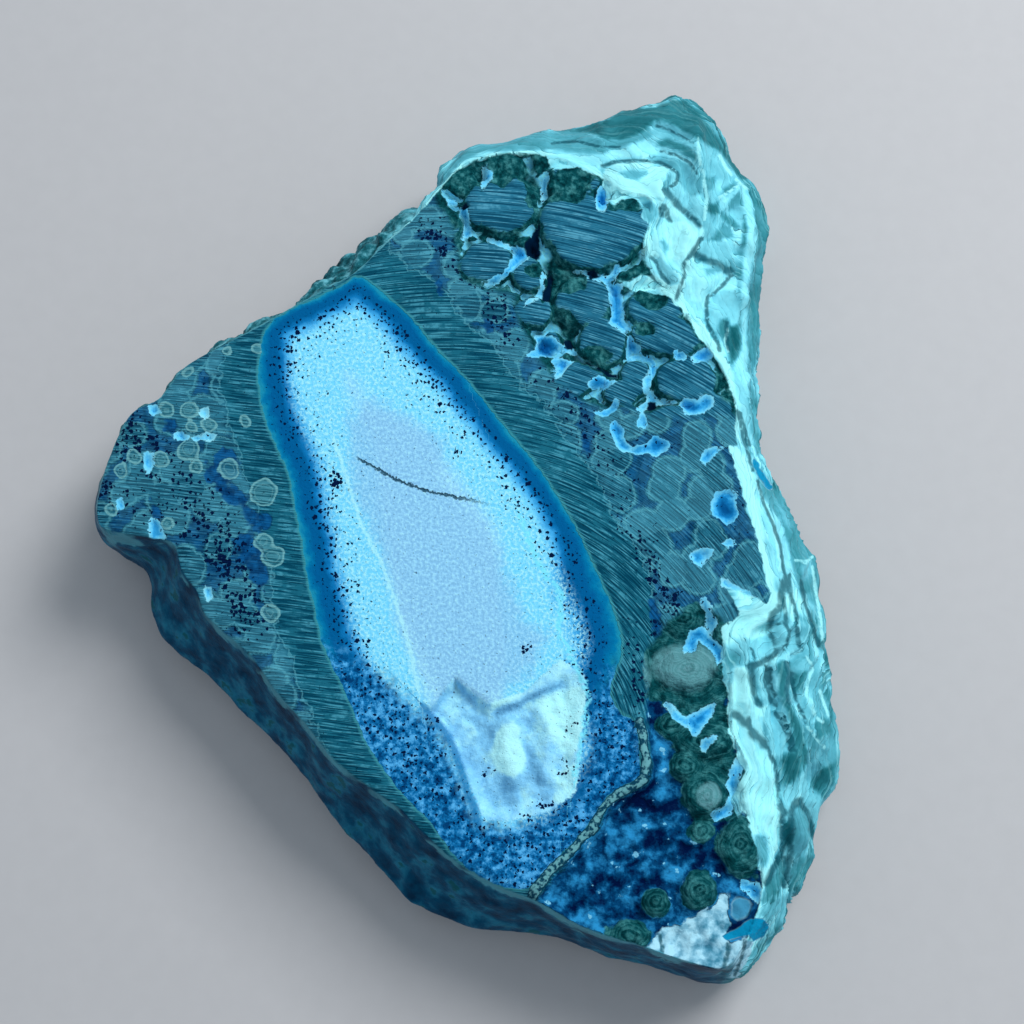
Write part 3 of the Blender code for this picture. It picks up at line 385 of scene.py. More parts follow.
# Pale stone at the lowest corner, a slate blue spot and two turquoise ones
paleArea = [
    (21.7, -42.3), (24, -41.3), (25.1, -40.5), (26.7, -40), (27.2, -38.7), (28.3, -38.7), (28, -40.7),
        (28.4, -42.1), (27.3, -43.2), (28.1, -43.8), (29.7, -43.4), (30.7, -43.8), (29.5, -46.2),
        (28.8, -47.5), (25.9, -47.7), (23.9, -47.4), (20.8, -45.9), (18.3, -44.8), (19.7, -43.8),
        (20.4, -42.6),
]
slateSpot = [
    (28.8, -39), (30.2, -39.3), (30.6, -40), (30.1, -41.1), (29, -41.7), (28.2, -41), (28.3, -39.8),
]
turquoiseSpots = [
    [(27.9, -42.8), (29.3, -42), (30.3, -41.3), (31.6, -41.3), (32.3, -42.1), (32.3, -43.1),
        (30.5, -43.7), (30.1, -43), (28.7, -43.4), (27.9, -43.6), (27.3, -43.2)],
    [(32.3, 9.4), (32.8, 8.4), (33.6, 6.9), (34.5, 5.7), (33.8, 5.5), (32.7, 7), (32.1, 8.5)],
]

# Faces of the smooth broken malachite: lightness from 0 to 1, partly the stone's tone and partly painted light and
# shade of each face, and outline, later ones over earlier ones
toneAndShadePanels = [
    (0.12, [(8.5, 49.1), (12.6, 49.4), (15.6, 50.3), (18.9, 52.1), (22.1, 52.3), (24.1, 53.2),
        (25.7, 53.1), (27, 51.7), (28.1, 50), (29.4, 48.1), (30, 46.8), (31.3, 44.9), (32.6, 43.2),
        (31.5, 42.8), (30.4, 44.3), (29.3, 46.2), (27.9, 47.1), (27.3, 48.1), (26.1, 48.6), (24.5, 49.8),
        (23.1, 50.4), (21.7, 50.4), (20.8, 49.3), (19.3, 48.4), (17.7, 48), (16.1, 48.1), (14.4, 49),
        (12.6, 49.1)]),
    (0.40, [(-3.6, 42.2), (-2.3, 44.2), (-0.8, 46.7), (1.5, 47.5), (3.9, 47.7), (8.5, 49), (12.6, 49.3),
        (16.1, 48), (17.7, 47.9), (19.7, 48.4), (21.2, 49.5), (21.6, 48.5), (20.2, 48), (17.9, 47),
        (16.1, 46.5), (10.9, 46.8), (7.4, 46.7), (1.5, 46.5), (-0.6, 45.4), (-2.2, 43.4)]),
    (0.58, [(21.7, 50.4), (23.1, 50.4), (24.7, 49.6), (26.3, 48.5), (26.5, 46.8), (25.5, 47.1),
        (23.5, 48.2), (21.6, 48.5)]),
    (0.20, [(22.2, 47.9), (23.5, 48.1), (24.9, 47.6), (26.1, 47), (26.7, 46.1), (26.5, 45.6),
        (24.9, 46.6), (23.5, 47.2), (22.3, 47.2)]),
    (0.80, [(9.1, 46.1), (10.9, 46.6), (15.5, 46.3), (17.9, 46.7), (20.8, 48.1), (22.2, 47.2),
        (23.5, 46.8), (25.1, 46.2), (26.5, 45.4), (26, 44.9), (24.3, 45.7), (21.9, 46.1), (18.4, 45.9),
        (16.5, 45.4), (16, 44.4), (14.9, 43.9), (13.8, 44.7), (10.8, 44.2), (9.7, 44.4)]),
    (0.50, [(16.5, 45.4), (18.4, 45.8), (21.9, 45.9), (24.3, 45.6), (26, 44.8), (26.8, 43.2),
        (27.1, 41.7), (25.9, 40.9), (24.6, 42.7), (24.4, 44.2), (23.4, 44.8), (21.9, 45.3), (20.2, 45.4),
        (17.9, 45.3), (16.2, 44.8), (15.7, 43.2), (15.5, 44.2)]),
    (0.72, [(24.6, 42.7), (25.9, 40.9), (27.3, 41.4), (27.5, 39.8), (27, 37.7), (25.2, 38.9),
        (23.4, 40.8), (23.8, 41.9)]),
    (1.00, [(15.5, 42.7), (16.2, 43.2), (17.6, 44.2), (18.8, 43.5), (20.1, 43.2), (21.3, 44.4),
        (22.5, 44.7), (23.5, 44.2), (23.2, 43.2), (22.6, 42.2), (22.8, 41.7), (23.4, 40.9), (21.8, 40.7),
        (20.1, 40.9), (18.4, 41.3), (16.9, 41.4), (15.9, 42)]),
    (0.50, [(17.3, 43.9), (18.8, 44.2), (20.2, 44.2), (21.1, 44.3), (20.7, 43.5), (19.7, 43), (18.4, 43.2)]),
    (0.86, [(20.1, 40.8), (21.8, 40.4), (23.4, 40.8), (25.2, 38.9), (26.9, 36.9), (26.9, 35.4),
        (26, 34.2), (25, 32.7), (24.5, 31.5), (23.6, 32), (22.3, 33.2), (20.9, 34.2), (21.4, 35.9),
        (21.8, 36.9), (22.4, 37.7), (23.3, 38.2), (22.9, 39.8), (21.8, 40)]),
    (0.46, [(20.2, 39.8), (21.3, 40.4), (21.9, 39.6), (22.2, 38.6), (21.4, 37.7), (20.5, 37.9),
        (20.1, 38.9)]),
    (1.00, [(23.8, 37.7), (25.3, 37.7), (26.7, 36.4), (26.8, 35.4), (25.7, 33.7), (24.1, 33.2),
        (22.8, 34.7), (23, 36.4)]),
    (0.45, [(22.3, 35.4), (23, 35.7), (23.3, 34.4), (22.8, 33.9)]),
    (0.62, [(21.1, 33.4), (22.5, 33.2), (23.6, 32), (24.3, 30.2), (23.1, 29.8), (21.7, 31.7)]),
    (0.60, [(27.2, 48), (29.5, 46.6), (31.2, 43.9), (32, 42.7), (32.3, 41.7), (31.2, 42.2), (30, 42.7),
        (28.5, 42.9), (27.6, 43.2)]),
    (0.36, [(27.1, 43.4), (29, 43.2), (28.7, 42.2), (28.2, 41.4), (27.6, 41.7)]),
    (0.64, [(29, 42.9), (30.6, 43.2), (31.5, 42.4), (29.9, 41.4), (29.2, 40.7), (28.4, 39.6), (28.2, 40.9)]),
    (0.34, [(29.7, 41.9), (31, 42.7), (31.4, 42.2), (30.3, 41.4), (29.4, 40.8)]),
    (0.80, [(29.1, 40.4), (31.5, 42.2), (32.2, 41.7), (30.5, 39.9), (29.6, 38.9), (28.9, 39.4)]),
    (0.34, [(30.2, 40.1), (31.7, 41.7), (32.1, 39.9), (30.5, 39.3)]),
    (0.66, [(29.8, 39.1), (32.1, 39.6), (32, 36.4), (31.4, 37.2), (30.3, 38.5)]),
    (0.12, [(27.7, 39.9), (29.1, 40), (29.3, 38.9), (28.4, 38.6), (27.7, 39.3)]),
    (0.28, [(29.3, 38.6), (30.3, 38.5), (31.4, 37.2), (31.1, 36.7), (30.2, 37.2)]),
    (0.62, [(27.7, 38.9), (29.1, 38.5), (29.5, 37.7), (29, 35.9), (27.4, 35.2), (27.2, 36.7)]),
    (0.32, [(29.5, 37.7), (30.4, 36.9), (30.9, 35.9), (28.8, 35.4), (27.6, 35.2), (28.8, 36.2)]),
    (0.66, [(27.4, 34.9), (29, 35.3), (30.6, 35.7), (30.8, 34.2), (30.1, 32.7), (28.9, 32.7),
        (27.3, 33.2), (26.4, 33.7)]),
    (0.84, [(24.7, 30), (25.7, 32.5), (26.9, 32.7), (27.6, 32.7), (28.2, 31.5), (29.8, 31.2),
        (30.5, 31.5), (31.1, 30.5), (30.7, 29), (29.1, 29.3), (27.6, 28), (27.4, 25.9), (26.1, 25.9),
        (24.7, 28)]),
    (0.48, [(27.3, 32), (29.2, 32.2), (29.4, 31.5), (27.5, 31.2)]),
    (0.82, [(32.1, 41.9), (33, 40.4), (33.4, 37.9), (33.3, 35.4), (32.9, 32.9), (32.4, 29.9),
        (32.1, 26.8), (31.9, 23.8), (31.9, 20.8), (32, 17.8), (30.8, 18.4), (30.1, 19.6), (30.8, 21),
        (31.3, 23.2), (31.4, 26.2), (31.4, 29.3), (31.7, 32.3), (32.1, 34.8), (32.4, 36.7), (32.2, 39.1),
        (31.7, 41.4)]),
    (0.20, [(32.1, 38.4), (32.4, 36.7), (32.2, 34.7), (31.6, 34.4), (31.8, 36.7)]),
    (0.36, [(33.1, 40.9), (34.2, 38.9), (34.7, 36.7), (34.6, 34.2), (34, 31.7), (33.7, 29.3),
        (33.5, 25.6), (33.1, 22.6), (32.5, 22.6), (32.5, 28), (32.8, 31.1), (33.3, 33.6), (33.6, 36),
        (33.5, 38.5)]),
    (1.00, [(25.6, 25.4), (27.1, 25.4), (28, 23.8), (29.1, 22.2), (30.1, 19.8), (31, 17.8), (31.5, 15.4),
        (30.6, 15.4), (29.9, 17.2), (29.1, 20.2), (28, 22), (26.4, 23.4)]),
    (0.68, [(27.6, 28), (29.1, 29.3), (31.1, 29.3), (31.3, 26.6), (31, 24.4), (29.9, 25), (28.7, 24.4),
        (28, 24.6), (27.5, 25.9)]),
    (0.24, [(28.8, 25.6), (29.7, 25.9), (30.1, 24.9), (31, 25.4), (31.3, 23.8), (31.2, 22), (30.6, 20.8),
        (30.1, 20.2), (29.7, 21.4), (29.2, 23), (28.7, 24.2)]),
    (0.02, [(30.1, 24.9), (31, 24.9), (31.1, 22.6), (30.3, 21.1), (29.9, 22.6)]),
    (0.28, [(32.8, 30.1), (33.9, 29.9), (33.7, 27.4), (33.5, 25), (33, 22.6), (33, 20.8), (32.4, 18.9),
        (32.1, 22), (32.3, 25.6), (32.5, 28)]),
    (0.76, [(30.1, 19.4), (31.6, 19.6), (31.9, 17.2), (32.1, 13.7), (32.4, 11.3), (31.9, 10.1),
        (31.1, 12.5), (30.7, 15.4), (30.4, 17.2)]),
    (0.35, [(32, 17.8), (32.5, 17.2), (32.9, 12.5), (33.3, 9.9), (32.6, 9.5), (32.2, 12.5)]),
    (1.00, [(29.5, 10.7), (30.5, 10.8), (31, 9), (31.8, 6.6), (32.5, 4.3), (33.1, 0.9), (33.5, -2.5),
        (34.1, -6.2), (33.2, -5.4), (32.7, -2), (32.1, 0.9), (31.3, 3.2), (30.5, 6.6), (29.9, 9)]),
    (0.74, [(31.1, 11.3), (31.7, 10.7), (32.4, 7.8), (33.1, 4.9), (33.9, 2.9), (35, 1.4), (35.7, -0.3),
        (35.9, -2.5), (36.1, -6.2), (34.9, -6.4), (34.1, -3.7), (33.8, -0.8), (33.3, 2), (32.5, 4.9),
        (31.8, 7.8)]),
    (0.36, [(32.9, 6.6), (34.2, 5.9), (35.5, 4.6), (36.8, 2.3), (37.8, 0.3), (38.9, -1.6), (39.3, -3.7),
        (39.3, -6.2), (36.9, -6.2), (36.2, -3.7), (35.8, -0.8), (35.3, 1.1), (34.2, 3.2), (33.2, 4.9)]),
    (0.56, [(37, -3.2), (38.4, -2.5), (38.4, -4.1), (37.3, -4.8)]),
    (0.56, [(34.6, 4.1), (35.4, 3.4), (36.3, 1.6), (36.1, 0.9), (35, 2.3)]),
    (1.00, [(30.3, -8.4), (31.9, -8.2), (33, -7.6), (33.8, -5.9), (34.7, -6.2), (34.8, -8), (33.7, -8.9),
        (33.4, -10.4), (32.4, -11.2), (31, -11.4), (30, -10.9), (29.6, -9.9), (30, -9.1)]),
    (0.66, [(30.4, -11.5), (31.2, -11.5), (32.6, -11.1), (33.2, -10.9), (34.1, -12.1), (34.1, -12.6),
        (33.2, -13.3), (32.1, -13.7), (31, -13.5), (30.1, -12.4)]),
    (0.60, [(34.7, -8.4), (35.7, -9.3), (36.4, -11), (36.3, -12.6), (35.1, -13.1), (34.2, -13.3),
        (34.3, -12.1), (33.8, -10.6), (33.7, -9.3)]),
    (0.78, [(30.9, -14.3), (32.5, -13.7), (34.5, -13.2), (36.7, -12.5), (37.2, -12.8), (36.1, -13.2),
        (34.7, -14), (32.8, -14.6), (31.4, -14.9)]),
    (1.00, [(29.5, -14.3), (30.9, -14.6), (31.2, -16), (31.4, -17.6), (31.3, -18.4), (29.4, -18.1),
        (28.7, -17.3), (29.2, -16), (29.3, -14.9)]),
    (0.60, [(31.5, -14.6), (32.2, -15.1), (32.4, -17.1), (32.1, -18.1), (31.7, -17.3), (31.4, -16)]),
    (0.25, [(31.3, -17.6), (32.2, -18.1), (32.1, -18.8), (31.6, -18.6)]),
    (0.16, [(34.1, -14), (34.9, -13.7), (35.2, -15.1), (34.9, -17.1), (34.7, -18.4), (34.1, -17.1),
        (34.1, -15.4)]),
    (0.62, [(32.5, -14.6), (33.5, -14.6), (34, -17.1), (34.3, -18.8), (32.5, -18.8), (32.5, -17.1)]),
    (0.62, [(35.3, -14.6), (36.9, -13.5), (38.1, -14.3), (37.5, -15), (36, -15.2), (35.5, -16.2),
        (35, -16.5)]),
    (0.50, [(37.5, -13.2), (38.8, -13.5), (39, -17.1), (39.6, -18.7), (38.6, -19.8), (37.8, -18.1),
        (37.2, -17.1), (37.4, -15.4), (37.9, -14.6)]),
    (0.58, [(35.4, -17.1), (37.1, -18.1), (38.1, -19.9), (37.7, -20.5), (36.6, -19.5), (35.6, -18.4)]),
    (0.28, [(38.3, -20.1), (39.5, -20.5), (39.7, -21.6), (38.5, -22.1), (37.7, -20.9)]),
    (0.42, [(36.4, -19.8), (37.2, -20.9), (38.7, -22.7), (38.6, -23.8), (37.6, -23.6), (36.8, -23),
        (36.7, -21.4)]),
    (0.50, [(38.4, -22.7), (39.8, -22), (40.2, -24.7), (39.4, -26.3), (38.2, -24.7)]),
    (0.14, [(34.6, -18.1), (35.2, -18.4), (36, -19.9), (36.6, -22), (37.1, -23.8), (36.8, -25.3),
        (36.4, -26), (36, -23.6), (35.6, -21.4), (35, -19.5)]),
    (0.64, [(32.3, -19.5), (33.2, -19.2), (34.2, -20.5), (35, -23), (35, -23.8), (33.5, -24.1),
        (32.9, -23), (32.9, -21.2)]),
    (0.42, [(32.2, -20), (32.8, -21.2), (33.1, -22.5), (32.4, -22.1), (32, -20.8)]),
    (0.08, [(35, -23.8), (35.9, -23.6), (36.3, -24.7), (36.2, -26), (35.3, -27.1), (34.8, -27.2),
        (34.5, -26), (34.3, -24.7)]),
    (0.88, [(28.7, -18.1), (29.4, -18.8), (32.1, -18.8), (32.1, -20.3), (32.4, -22), (32.8, -23),
        (33, -24.1), (33.4, -25.2), (33.7, -28.1), (31.4, -28.1), (30.8, -26.3), (29.5, -24.9),
        (29.4, -23), (30.1, -22), (29.5, -20.5), (28.6, -19.5)]),
    (0.60, [(36.4, -26.3), (37.1, -24.7), (38.2, -24.1), (37.9, -25.7), (36.7, -28.1), (35.9, -28.1)]),
    (0.70, [(34.4, -27.5), (35.5, -27.9), (35.3, -29.2), (35, -30.2), (34.9, -31.3), (34.4, -31.1),
        (34.1, -30.2)]),
    (0.10, [(38.3, -25.7), (39.7, -25.1), (39.5, -26.4), (38.5, -27.6), (37.6, -27)]),
    (0.96, [(31.8, -26.8), (33.7, -26.8), (33.9, -28.9), (34, -30.5), (34, -33.2), (33.5, -34.2),
        (32.8, -35.8), (32, -37.4), (31.3, -36.1), (31.2, -34.2), (30.9, -33.2), (30.6, -32.1),
        (30.4, -31.1), (29.8, -30.2), (29.6, -29.5), (30.5, -28.4)]),
    (0.42, [(31, -32.6), (32.3, -32.6), (32.4, -34.2), (32.4, -35.5), (31.8, -36.1), (31.4, -35.3),
        (31.1, -34)]),
    (0.06, [(34.2, -31.3), (34.8, -31.3), (34.9, -33), (34.7, -33.9), (34.2, -33.4)]),
    (0.46, [(35.3, -29.6), (36, -29.5), (36.6, -30.5), (37, -32.1), (36.7, -33.7), (36, -35.1),
        (35.2, -35.3), (34.9, -34.2), (35, -32.1)]),
    (0.62, [(36.1, -28.1), (37.4, -27.5), (38.6, -28.9), (38.7, -30.5), (38.2, -32.7), (37.4, -32.1),
        (36.9, -30.5)]),
    (0.36, [(35.2, -35.5), (36.5, -34.8), (37.5, -33.8), (37.4, -35), (36.4, -36.2), (35.4, -37.3),
        (34.7, -38.1), (34.5, -37.4), (34.7, -36.3)]),
    (0.30, [(32, -37.8), (33.1, -36.6), (34, -35.3), (34.2, -37.4), (33.4, -38.4), (32.5, -39.2),
        (31.6, -40.2), (31.4, -39.5)]),
    (0.02, [(32.3, -39.9), (33.2, -38.4), (33.6, -38.4), (32.9, -39.8), (32, -40.7)]),
    (0.50, [(31.2, -40.9), (32.3, -40), (34.1, -38.7), (35.1, -38.4), (34.4, -39.7), (33.2, -40.9),
        (32, -41.6)]),
]

# Creases, dark lines of the stone with painted shade, and crests with painted highlights: width against the usual one
# and path
shadedCreases = [
    (0.5, [(15.7, 44.7), (16.9, 45.2), (18.4, 45.4), (20.8, 45.4), (22.3, 45.2), (23.4, 44.7), (24.4, 44),
        (24.5, 43.4), (24.1, 42.5), (23.4, 41.9), (22.7, 41.7)]),
    (0.8, [(23, 41.7), (23.6, 40.9), (24.3, 40), (25.1, 39.1), (25.9, 38.4), (26.6, 37.7), (26.9, 37.2)]),
    (0.4, [(9.9, 47.6), (12.6, 47.9), (15.5, 47.2), (17.9, 47.1)]),
    (0.4, [(22, 49.9), (23.5, 49.4), (24.9, 48.6), (26.3, 47.7)]),
    (0.4, [(22.5, 46.6), (24.3, 46.2), (26, 45.1), (26.7, 43.9)]),
    (0.5, [(27.1, 35.7), (26.6, 35), (26.2, 34.2), (25.7, 33.4), (25, 32.7), (24.8, 31.7), (25, 31),
        (24.5, 30), (24.3, 29), (24, 28)]),
    (0.6, [(22.5, 38.6), (22.4, 39.4), (22.9, 39.8), (23.2, 39.1), (23.1, 38.4), (23.5, 37.7)]),
    (0.9, [(26, 33.9), (26.9, 33.4), (27.8, 32.9), (28.7, 32.8), (29.4, 32.2), (29.8, 31.7), (30.4, 31.7)]),
    (0.5, [(30.3, 31), (29.6, 30.2), (28.9, 29.5), (28.1, 28.7)]),
    (0.5, [(27.6, 28.5), (27.4, 27.3), (27.4, 25.6), (27.9, 24.2), (28.5, 23), (28.8, 22)]),
    (0.5, [(29.7, 25.4), (29.6, 23.8), (29.8, 22)]),
    (0.4, [(30.6, 14.8), (30.9, 13.1), (31.2, 11.3), (31.7, 9.5), (32.1, 7.8)]),
    (0.4, [(30.9, 14.6), (31.4, 12.5), (31.8, 10.7)]),
    (0.4, [(32.6, 6.6), (33.3, 3.7), (34.1, 1.8), (34.9, -0.8), (35.2, -3.7), (35.5, -6.2)]),
    (0.7, [(35, -4.8), (34.8, -5.9), (34.7, -7.1), (34.5, -8), (33.6, -8.7), (33.5, -9.5), (33.2, -10.5),
        (33.7, -11.3), (34.2, -12.2), (34, -12.9), (33.4, -13.4), (32.3, -14), (30.9, -14.4)]),
    (0.5, [(35.2, -5), (35, -7.3), (35.2, -8.4), (35.3, -9.3)]),
    (0.5, [(35.7, -4.2), (35.8, -6.2), (36.1, -7.6), (36.4, -9.1), (36.4, -10.6), (36.5, -12.1)]),
    (0.5, [(37, -4.8), (37.3, -7.1), (38.1, -9.9), (38.7, -12.1)]),
    (0.4, [(34.2, -9.7), (35, -9.5), (35.5, -10.4), (35.4, -11.5), (34.9, -12.6)]),
    (0.4, [(31.3, -12.4), (31.6, -13.3)]),
    (0.8, [(31.2, -14.6), (31.3, -16), (31.4, -17.3), (31.8, -18.5), (32.1, -18.7)]),
    (0.4, [(32.9, -14.6), (32.6, -16), (33, -17.3), (33.3, -18.5)]),
    (0.4, [(33.4, -14.6), (33.3, -16.2), (33.7, -17.6), (33.9, -18.8)]),
    (0.6, [(35.1, -14), (35.3, -15.4), (35, -17.1), (35.2, -18.4)]),
    (0.4, [(35.9, -15.1), (35.7, -16.4), (36, -18.1), (37, -20.5)]),
    (0.4, [(33.7, -19.5), (34.4, -20.8), (34.9, -22.3), (35.2, -23.6)]),
    (0.4, [(34.5, -19.7), (35.1, -21.2), (35.5, -22.7), (35.7, -23.6)]),
    (1.1, [(29.2, -19.6), (29.7, -19.9), (30.2, -20.5)]),
    (1.1, [(31.1, -21.7), (31.8, -22.2), (32.4, -22.8)]),
    (0.5, [(30.8, -20.1), (31, -21.2), (31.3, -21.7)]),
    (0.5, [(32.4, -22.8), (32.9, -23.6), (33, -24.2), (33.4, -24.9), (33.6, -26.3), (33.7, -27.9),
        (33.9, -28.9), (33.9, -29.6)]),
    (0.7, [(33.8, -29.6), (34.2, -30), (34, -30.9), (34, -32.1), (34.1, -33.7), (33.7, -34.8),
        (33.1, -35.8), (32.6, -36.8), (32.1, -37.6)]),
    (0.8, [(36, -28.9), (35.3, -29.5), (35, -30.2), (34.9, -32.1), (34.7, -33.4), (34.8, -34.5),
        (34.5, -35.8), (34.2, -37.2), (34, -37.9)]),
    (0.6, [(36, -29.4), (36.7, -30.2), (37.1, -31.5), (37.3, -32.7), (37.6, -33.4)]),
    (0.5, [(27.9, -43.8), (27.8, -45.1), (27.3, -46.5), (27.1, -47.2)]),
    (0.4, [(29.7, -43.6), (29.4, -44.8), (28.9, -46.2), (28.5, -47.2)]),
    (0.4, [(20.7, -43.1), (21, -44.4), (20.9, -45.5)]),
    (0.5, [(21.1, 33.4), (21.8, 32.7), (22.2, 31.5), (23.1, 30.2)]),
    (0.4, [(20, 32.7), (20.5, 31.7), (21.3, 31), (21.8, 30)]),
]
# Crests, each with a painted highlight
highlitCrests = [
    (0.5, [(26.9, 48.2), (27, 46.7), (27.2, 44.8), (27.5, 42.9), (27.8, 41), (27.7, 39.8), (27.5, 38.5),
        (27.2, 37.3), (27.1, 36)]),
    (0.4, [(29.4, 46.1), (30.2, 44.4), (31, 43.3), (31.8, 42.4), (32.7, 41.7)]),
    (0.4, [(29.8, 24.6), (29.4, 23.2), (29.7, 21.8)]),
    (0.4, [(37.3, -13.2), (37.9, -14.6), (37.4, -16), (37.1, -17.3), (37.5, -18.7), (38.1, -19.9),
        (38.8, -20.5)]),
    (0.4, [(37, -20.9), (37.7, -21.7), (38.4, -22.8), (38.9, -23.4)]),
    (0.4, [(38.6, -17.1), (39, -18.6), (39.4, -19.9)]),
    (0.4, [(36.5, -2.5), (37.6, -2.8), (38.4, -2.1)]),
    (0.4, [(38.3, -3.2), (38.5, -4.8), (38.7, -6.6), (39, -9.1), (39.1, -11.5)]),
    (0.4, [(29.2, 40.7), (30.6, 41.7), (31.5, 42.2)]),
    (0.4, [(32.4, 6.6), (33.4, 3.7), (34.1, 2), (34.6, -0.8), (34.8, -3.7)]),
]

# Broken faces of the chip with their painted light and shade: how lit each looks from 0 to 1, and outline
chipLightAndShadePanels = [
    (0.95, [(3, -16.3), (5.5, -16.4), (5.7, -17.8), (3, -19.2)]),
    (0.15, [(3.1, -19.5), (5.6, -18.4), (7.7, -17.1), (10.7, -16.1), (10.7, -16.5), (7.9, -17.7),
        (5.7, -19), (3.5, -20)]),
    (1.00, [(3.5, -21.5), (5.5, -20.5), (6.5, -22.1), (7.5, -24), (5.5, -26.5), (4.1, -26), (3, -24.4)]),
    (0.25, [(6, -21.7), (7.5, -23.8), (8.9, -26), (8.7, -28.1), (7.4, -26.6), (6.8, -24.9)]),
    (0.90, [(7.7, -18.1), (12.4, -16.5), (13.5, -18), (12.6, -22.5), (11.7, -24.2), (9.6, -22.7)]),
    (0.30, [(-1.3, -15.5), (-0.6, -15.7), (0.9, -17.9), (0.5, -18.4)]),
    (0.35, [(0.7, -19.9), (2.4, -19.5), (3.1, -21), (2.7, -23.8), (1.8, -22.5)]),
    (0.80, [(10.4, -25.7), (12.3, -24.9), (12.5, -27.9), (11, -30.2), (9.5, -28.9)]),
    (0.20, [(4, -26.4), (5.5, -26.8), (6.1, -28.9), (4.8, -29.6), (3.8, -28.1)]),
]


# Measuring on the face

def smoothStep(low, high, value):
    t = np.clip((value - low) / (high - low), 0.0, 1.0)
    return t * t * (3.0 - 2.0 * t)


def closedCurve(points, steps=10):
    p = np.array(points, float)
    a, b, c, d = np.roll(p, 1, 0), p, np.roll(p, -1, 0), np.roll(p, -2, 0)
    out = []
    for k in range(steps):
        t = k / steps
        out.append(0.5 * (2 * b + (c - a) * t + (2 * a - 5 * b + 4 * c - d) * t ** 2
                          + (3 * b - a - 3 * c + d) * t ** 3))
    return np.stack(out, 1).reshape(-1, p.shape[1])


def polar(points, angles):
    # Radius round the hub, and the height if there is one
    curve = closedCurve(points)
    dx = curve[:, 0] - hub[0]
    dy = curve[:, 1] - hub[1]
    turn = np.arctan2(dy, dx)
    order = np.argsort(turn)
    radius = np.interp(angles, turn[order], np.hypot(dx, dy)[order], period=2 * math.pi)
    if curve.shape[1] < 3:
        return radius
    return radius, np.interp(angles, turn[order], curve[order, 2], period=2 * math.pi)


def pathPlace(x, y, path):
    # Distance to an open path, the same with a sign for its side, and the way along it
    best = np.full(np.shape(x), 1e9)
    signed = np.zeros(np.shape(x))
    along = np.zeros(np.shape(x))
    start = 0.0
    for (ax, ay), (bx, by) in zip(path[:-1], path[1:]):
        ux, uy = bx - ax, by - ay
        length = math.hypot(ux, uy)
        t = np.clip(((x - ax) * ux + (y - ay) * uy) / length ** 2, 0.0, 1.0)
        gap = np.hypot(x - ax - t * ux, y - ay - t * uy)
        nearer = gap < best
        side = np.sign((x - ax) * uy - (y - ay) * ux)
        best = np.where(nearer, gap, best)
        signed = np.where(nearer, gap * side, signed)
        along = np.where(nearer, start + t * length, along)
        start += length
    return best, signed, along


def insideDepth(x, y, outline):
    # Distance inside a closed outline, negative outside it
    inside = np.zeros(np.shape(x), bool)
    for (ax, ay), (bx, by) in zip(outline, outline[1:] + outline[:1]):
        if ay != by:
            inside ^= ((ay > y) != (by > y)) & (x < (bx - ax) * (y - ay) / (by - ay) + ax)
    distance = pathPlace(x, y, outline + outline[:1])[0]
    return np.where(inside, distance, -distance)


def areaDepth(x, y, outlines, farthest=2.0):
    # Distance inside the nearest of several outlines, worked out only close to each
    best = np.full(len(x), -farthest)
    for outline in outlines:
        corners = np.array(outline)
        low = corners.min(0) - farthest
        high = corners.max(0) + farthest
        near = np.nonzero((x > low[0]) & (x < high[0]) & (y > low[1]) & (y < high[1]))[0]
        best[near] = np.maximum(best[near], insideDepth(x[near], y[near], outline))
    return best


def layPanels(x, y, panels, ground, soft):
    # Lightness of the ground with every panel laid over it, and how far a panel covers each point
    lightness = np.array(ground, float)
    covered = np.zeros(len(x))
    for value, outline in panels:
        share = smoothStep(-soft, soft, areaDepth(x, y, [outline]))
        lightness += share * (value - lightness)
        covered = np.maximum(covered, share)
    return lightness, covered


def lineGap(x, y, lines, farthest=2.0):
    # Distance to the nearest of several paths, each with its own width
    best = np.full(len(x), farthest)
    for width, path in lines:
        corners = np.array(path)
        low = corners.min(0) - farthest
        high = corners.max(0) + farthest
        near = np.nonzero((x > low[0]) & (x < high[0]) & (y > low[1]) & (y < high[1]))[0]
        best[near] = np.minimum(best[near], pathPlace(x[near], y[near], path)[0] / (width * 2.0))
    return best


def seenPlace(p):
    # Where a point below the face seems to lie on it, looked at from where the marks were drawn
    below = slab["faceHeight"] - p[:, 2]
    share = below / (lookFrom[2] - slab["faceHeight"] + below)
    return p[:, 0] + (lookFrom[0] - p[:, 0]) * share, p[:, 1] + (lookFrom[1] - p[:, 1]) * share


def spots(x, y, places):
    # 1 at the middle of the nearest spot, 0 at its outline, negative outside
    best = np.full(np.shape(x), -9.0)
    for cx, cy, halfWidth, halfLength in places:
        best = np.maximum(best, 1.0 - np.hypot((x - cx) / halfWidth, (y - cy) / halfLength))
    return best


def rough(points, size, seed, octaves=2):
    shift = Vector((seed * 17.3, seed * 5.9, seed * 11.1))
    return np.array([noise.fractal(Vector(p) / size + shift, 0.9, 2.0, octaves) for p in points])


def packed(points, size, seed):
    # Packed round knobs, 1 at their tops and 0 in the grooves between them
    shift = Vector((seed * 7.7, seed * 3.1, seed * 9.2))
    out = []
    for p in points:
        near = noise.voronoi(Vector(p) / size + shift)[0]
        out.append(min(1.0, 1.6 * (near[1] - near[0])) - 0.5 * near[0])
    return np.array(out)


# The slab's body

def onlySelect(piece):
    bpy.ops.object.select_all(action="DESELECT")
    piece.select_set(True)
    bpy.context.view_layer.objects.active = piece


def applyModifier(piece, name, kind, **settings):
    onlySelect(piece)
    modifier = piece.modifiers.new(name, kind)
    for key, value in settings.items():
        setattr(modifier, key, value)
    bpy.ops.object.modifier_apply(modifier=name)


